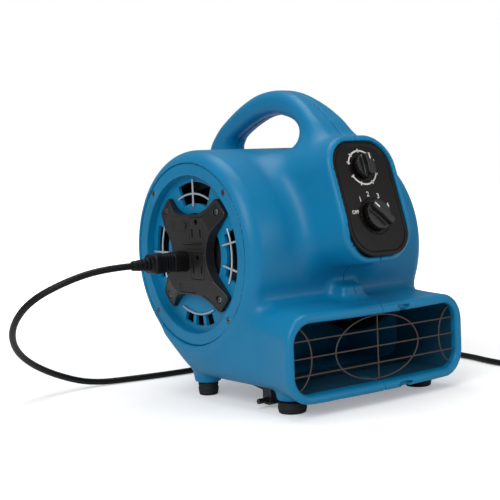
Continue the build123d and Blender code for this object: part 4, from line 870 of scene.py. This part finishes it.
def gland(x, y, z):
    """Moulded strain relief: collar, waisted grip with finger ribs, and a tapered ribbed tail."""
    p, q = y - GRIP_AT[0], z - GRIP_AT[1]
    waist = 1.3 * np.exp(-((x + 126.0) / 8.0) ** 2)
    grip = oblong(p, q, 11.0 - waist, 9.0 - 0.6 * waist, 5.0)
    ribs = 0.35 * np.clip(np.cos((x + 126.0) * 2 * math.pi / 3.2), 0, 1) * (np.abs(x + 126.0) < 8.5)
    body = trim(grip - ribs * (np.abs(p) > 5), np.abs(x + 123.2) - 18.7, 2.6)
    collar = trim(oblong(p, q, 10.9, 8.9, 5.0), np.abs(x + 107.0) - 3.0, 0.8)
    foot = trim(oblong(p, q, 13.0, 11.0, 6.0), slab(x, -104.5, -102.1), 0.5)
    r = np.hypot(p, q)
    t = np.clip((-140.0 - x) / 21.0, 0, 1)
    tail = r - (6.6 - 2.2 * t)
    slots = np.maximum(np.abs(np.mod(-x - 141.5, 4.2) - 2.1) - 0.75, 4.0 - r)
    slots = np.maximum(slots, np.maximum(x + 142.5, -159.5 - x))
    tail = trim(trim(tail, slab(x, -161.0, -138.0), 0.8), -slots, 0.3)
    d = fuse(np.minimum(body, collar), tail, 2.0)
    return np.minimum(d, foot)


gland_piece = mesh_of("lead_grip", gland, (-162.5, -4, 116), (-100.5, 26, 143), 0.7)
give(gland_piece, "cord_rubber", "housing", ("lead_gland",))

# ---------------------------------------------------------------- feet
FEET = (("front", FRONT_FOOT, 12.8, 10.0), ("rear", REAR_FOOT, 9.6, 12.0))
for side, label in ((-1, "left"), (1, "right")):
    for end, at, radius, height in FEET:
        def foot(x, y, z, cx=side * at[0], cy=at[1], radius=radius, height=height):
            r = np.hypot(x - cx, y - cy)
            wall = r - radius + 0.9 * np.clip(1 - z / (0.45 * height), 0, 1)
            groove = np.hypot(r - radius - 0.4, z - 0.72 * height) - 0.9
            d = trim(trim(wall, np.abs(z - height / 2) - height / 2, 1.2), -groove, 0.4)
            d = trim(d, -np.maximum(r - 4.4, z - 5.0), 0.4)
            return np.maximum(d, 2.0 - r)

        low = (side * at[0] - radius - 1.5, at[1] - radius - 1.5, -1.5)
        high = (side * at[0] + radius + 1.5, at[1] + radius + 1.5, height + 1.5)
        piece = mesh_of(end + "_pad_" + label, foot, low, high, 0.7)
        give(piece, "foot_rubber", "housing", (end + "_foot_" + label,))

# ---------------------------------------------------------------- tie and plug on the put-away lead


def tie(x, y, z):
    out = np.hypot(x - COIL_AT[0], y - COIL_AT[1]) - COIL_R
    band = np.abs(oblong(out, z - 6.95, 13.0, 6.5, 3.4)) - 0.42
    d = trim(np.maximum(band, y - COIL_AT[1]), np.abs(x - COIL_AT[0]) - 4.5, 0.35)
    tab = np.maximum(oblong(x - COIL_AT[0], out - 4.0, 4.4, 6.0, 1.5), slab(z, 13.0, 14.3))
    return np.minimum(d, np.maximum(tab, y - COIL_AT[1]))


tie_low, tie_high = (COIL_AT[0] - 6, COIL_AT[1] - 53, -1), (COIL_AT[0] + 6, COIL_AT[1] - 21, 16)
tie_piece = mesh_of("tie_strap", tie, tie_low, tie_high, 0.5)
give(tie_piece, "tie_black", "housing", ("coil_tie",))

plug_end = Vector(TAIL_POINTS[-1])
plug_way = (plug_end - Vector(TAIL_POINTS[-2])).normalized()
plug_side = plug_way.cross(Vector((0, 0, 1))).normalized()
plug_up = plug_side.cross(plug_way)


def plug(x, y, z):
    dx, dy, dz = x - plug_end.x, y - plug_end.y, z - plug_end.z
    w = dx * plug_way.x + dy * plug_way.y + dz * plug_way.z
    u = dx * plug_side.x + dy * plug_side.y + dz * plug_side.z
    v = dx * plug_up.x + dy * plug_up.y + dz * plug_up.z
    taper = 2.6 * np.clip((30.0 - w) / 16.0, 0, 1)
    body = trim(oblong(u, v, 12.4 - taper, 10.9 - taper * 0.7, 5.0), slab(w, 14.0, 40.0), 1.6)
    ribs = np.maximum(np.abs(np.mod(w, 2.8) - 1.4) - 0.6, 10.6 - taper - np.abs(u))
    ribs = np.maximum(ribs, slab(w, 17.0, 31.0))
    body = trim(body, -ribs, 0.2)
    r = np.hypot(u, v)
    t = np.clip(w / 16.0, 0, 1)
    tail = trim(r - (4.2 + 1.6 * t), slab(w, -2.0, 18.0), 0.6)
    cuts = np.maximum(np.maximum(np.abs(np.mod(w, 3.4) - 1.7) - 0.6, 3.9 - r), slab(w, 0.5, 12.5))
    return fuse(body, np.maximum(tail, -cuts), 1.5)


plug_mid, plug_reach = plug_end + plug_way * 19, Vector((20, 28, 14))
plug_piece = mesh_of("plug_moulded", plug, tuple(plug_mid - plug_reach), tuple(plug_mid + plug_reach), 0.6)
give(plug_piece, "cord_rubber", "housing", ("mains_plug",))

# ---------------------------------------------------------------- floor, backdrop and light
scene = bpy.context.scene
scene.view_settings.view_transform = "Standard"


def stage_material(name, level):
    """Pale floor that turns white away from the object, and keeps its shadow near it."""
    n = Nodes(name)
    n.shader.inputs["Base Color"].default_value = (level, level, level, 1)
    n.shader.inputs["Roughness"].default_value = 0.9
    n.shader.inputs["Emission Color"].default_value = (1, 1, 1, 1)
    away = n.add("ShaderNodeVectorMath", operation="LENGTH")
    n.link(n.add("ShaderNodeNewGeometry").outputs["Position"], away.inputs[0])
    fade = n.add("ShaderNodeMapRange", interpolation_type="SMOOTHSTEP")
    for key, value in (("From Min", 0.25), ("From Max", 0.9), ("To Min", 0.3), ("To Max", 1.0)):
        fade.inputs[key].default_value = value
    n.link(away.outputs["Value"], fade.inputs["Value"])
    seen_by = n.add("ShaderNodeMath", operation="MULTIPLY")
    n.link(n.add("ShaderNodeLightPath").outputs["Is Camera Ray"], seen_by.inputs[0])
    n.link(fade.outputs["Result"], seen_by.inputs[1])
    n.link(seen_by.outputs[0], n.shader.inputs["Emission Strength"])
    return n.material


floor_mesh = bpy.data.meshes.new("floor")
floor_mesh.from_pydata([(-6, -6, 0), (6, -6, 0), (6, 6, 0), (-6, 6, 0)], [], [(0, 1, 2, 3)])
floor = put("floor", floor_mesh)
floor_mesh.materials.append(stage_material("floor_pale", 0.88))
floor.location.z = -0.0002

world = bpy.data.worlds.new("studio")
scene.world = world
world.use_nodes = True
tree = world.node_tree
background = tree.nodes["Background"]
paths = tree.nodes.new("ShaderNodeLightPath")
seen = tree.nodes.new("ShaderNodeMath")
seen.operation = "MAXIMUM"
tree.links.new(paths.outputs["Is Camera Ray"], seen.inputs[0])
tree.links.new(paths.outputs["Is Transmission Ray"], seen.inputs[1])
level = tree.nodes.new("ShaderNodeMapRange")
level.inputs["To Min"].default_value = 0.3
level.inputs["To Max"].default_value = 1.0
tree.links.new(seen.outputs[0], level.inputs["Value"])
tree.links.new(level.outputs["Result"], background.inputs["Strength"])
background.inputs["Color"].default_value = (1, 1, 1, 1)


def lamp(name, at, aim, size, power, size_y=None):
    data = bpy.data.lights.new(name, "AREA")
    data.energy = power
    data.shape = "RECTANGLE"
    data.size = size
    data.size_y = size_y or size
    obj = put(name, data)
    obj.location = at
    obj.rotation_euler = (Vector(aim) - Vector(at)).to_track_quat("-Z", "Y").to_euler()


lamp("key", (-1.25, -0.75, 1.15), (-0.05, 0, 0.13), 0.8, 15, 1.1)
lamp("top", (0.0, 0.25, 1.7), (0, 0, 0.1), 1.1, 12)
lamp("fill", (0.95, -1.5, 0.7), (0, 0, 0.15), 0.7, 4)
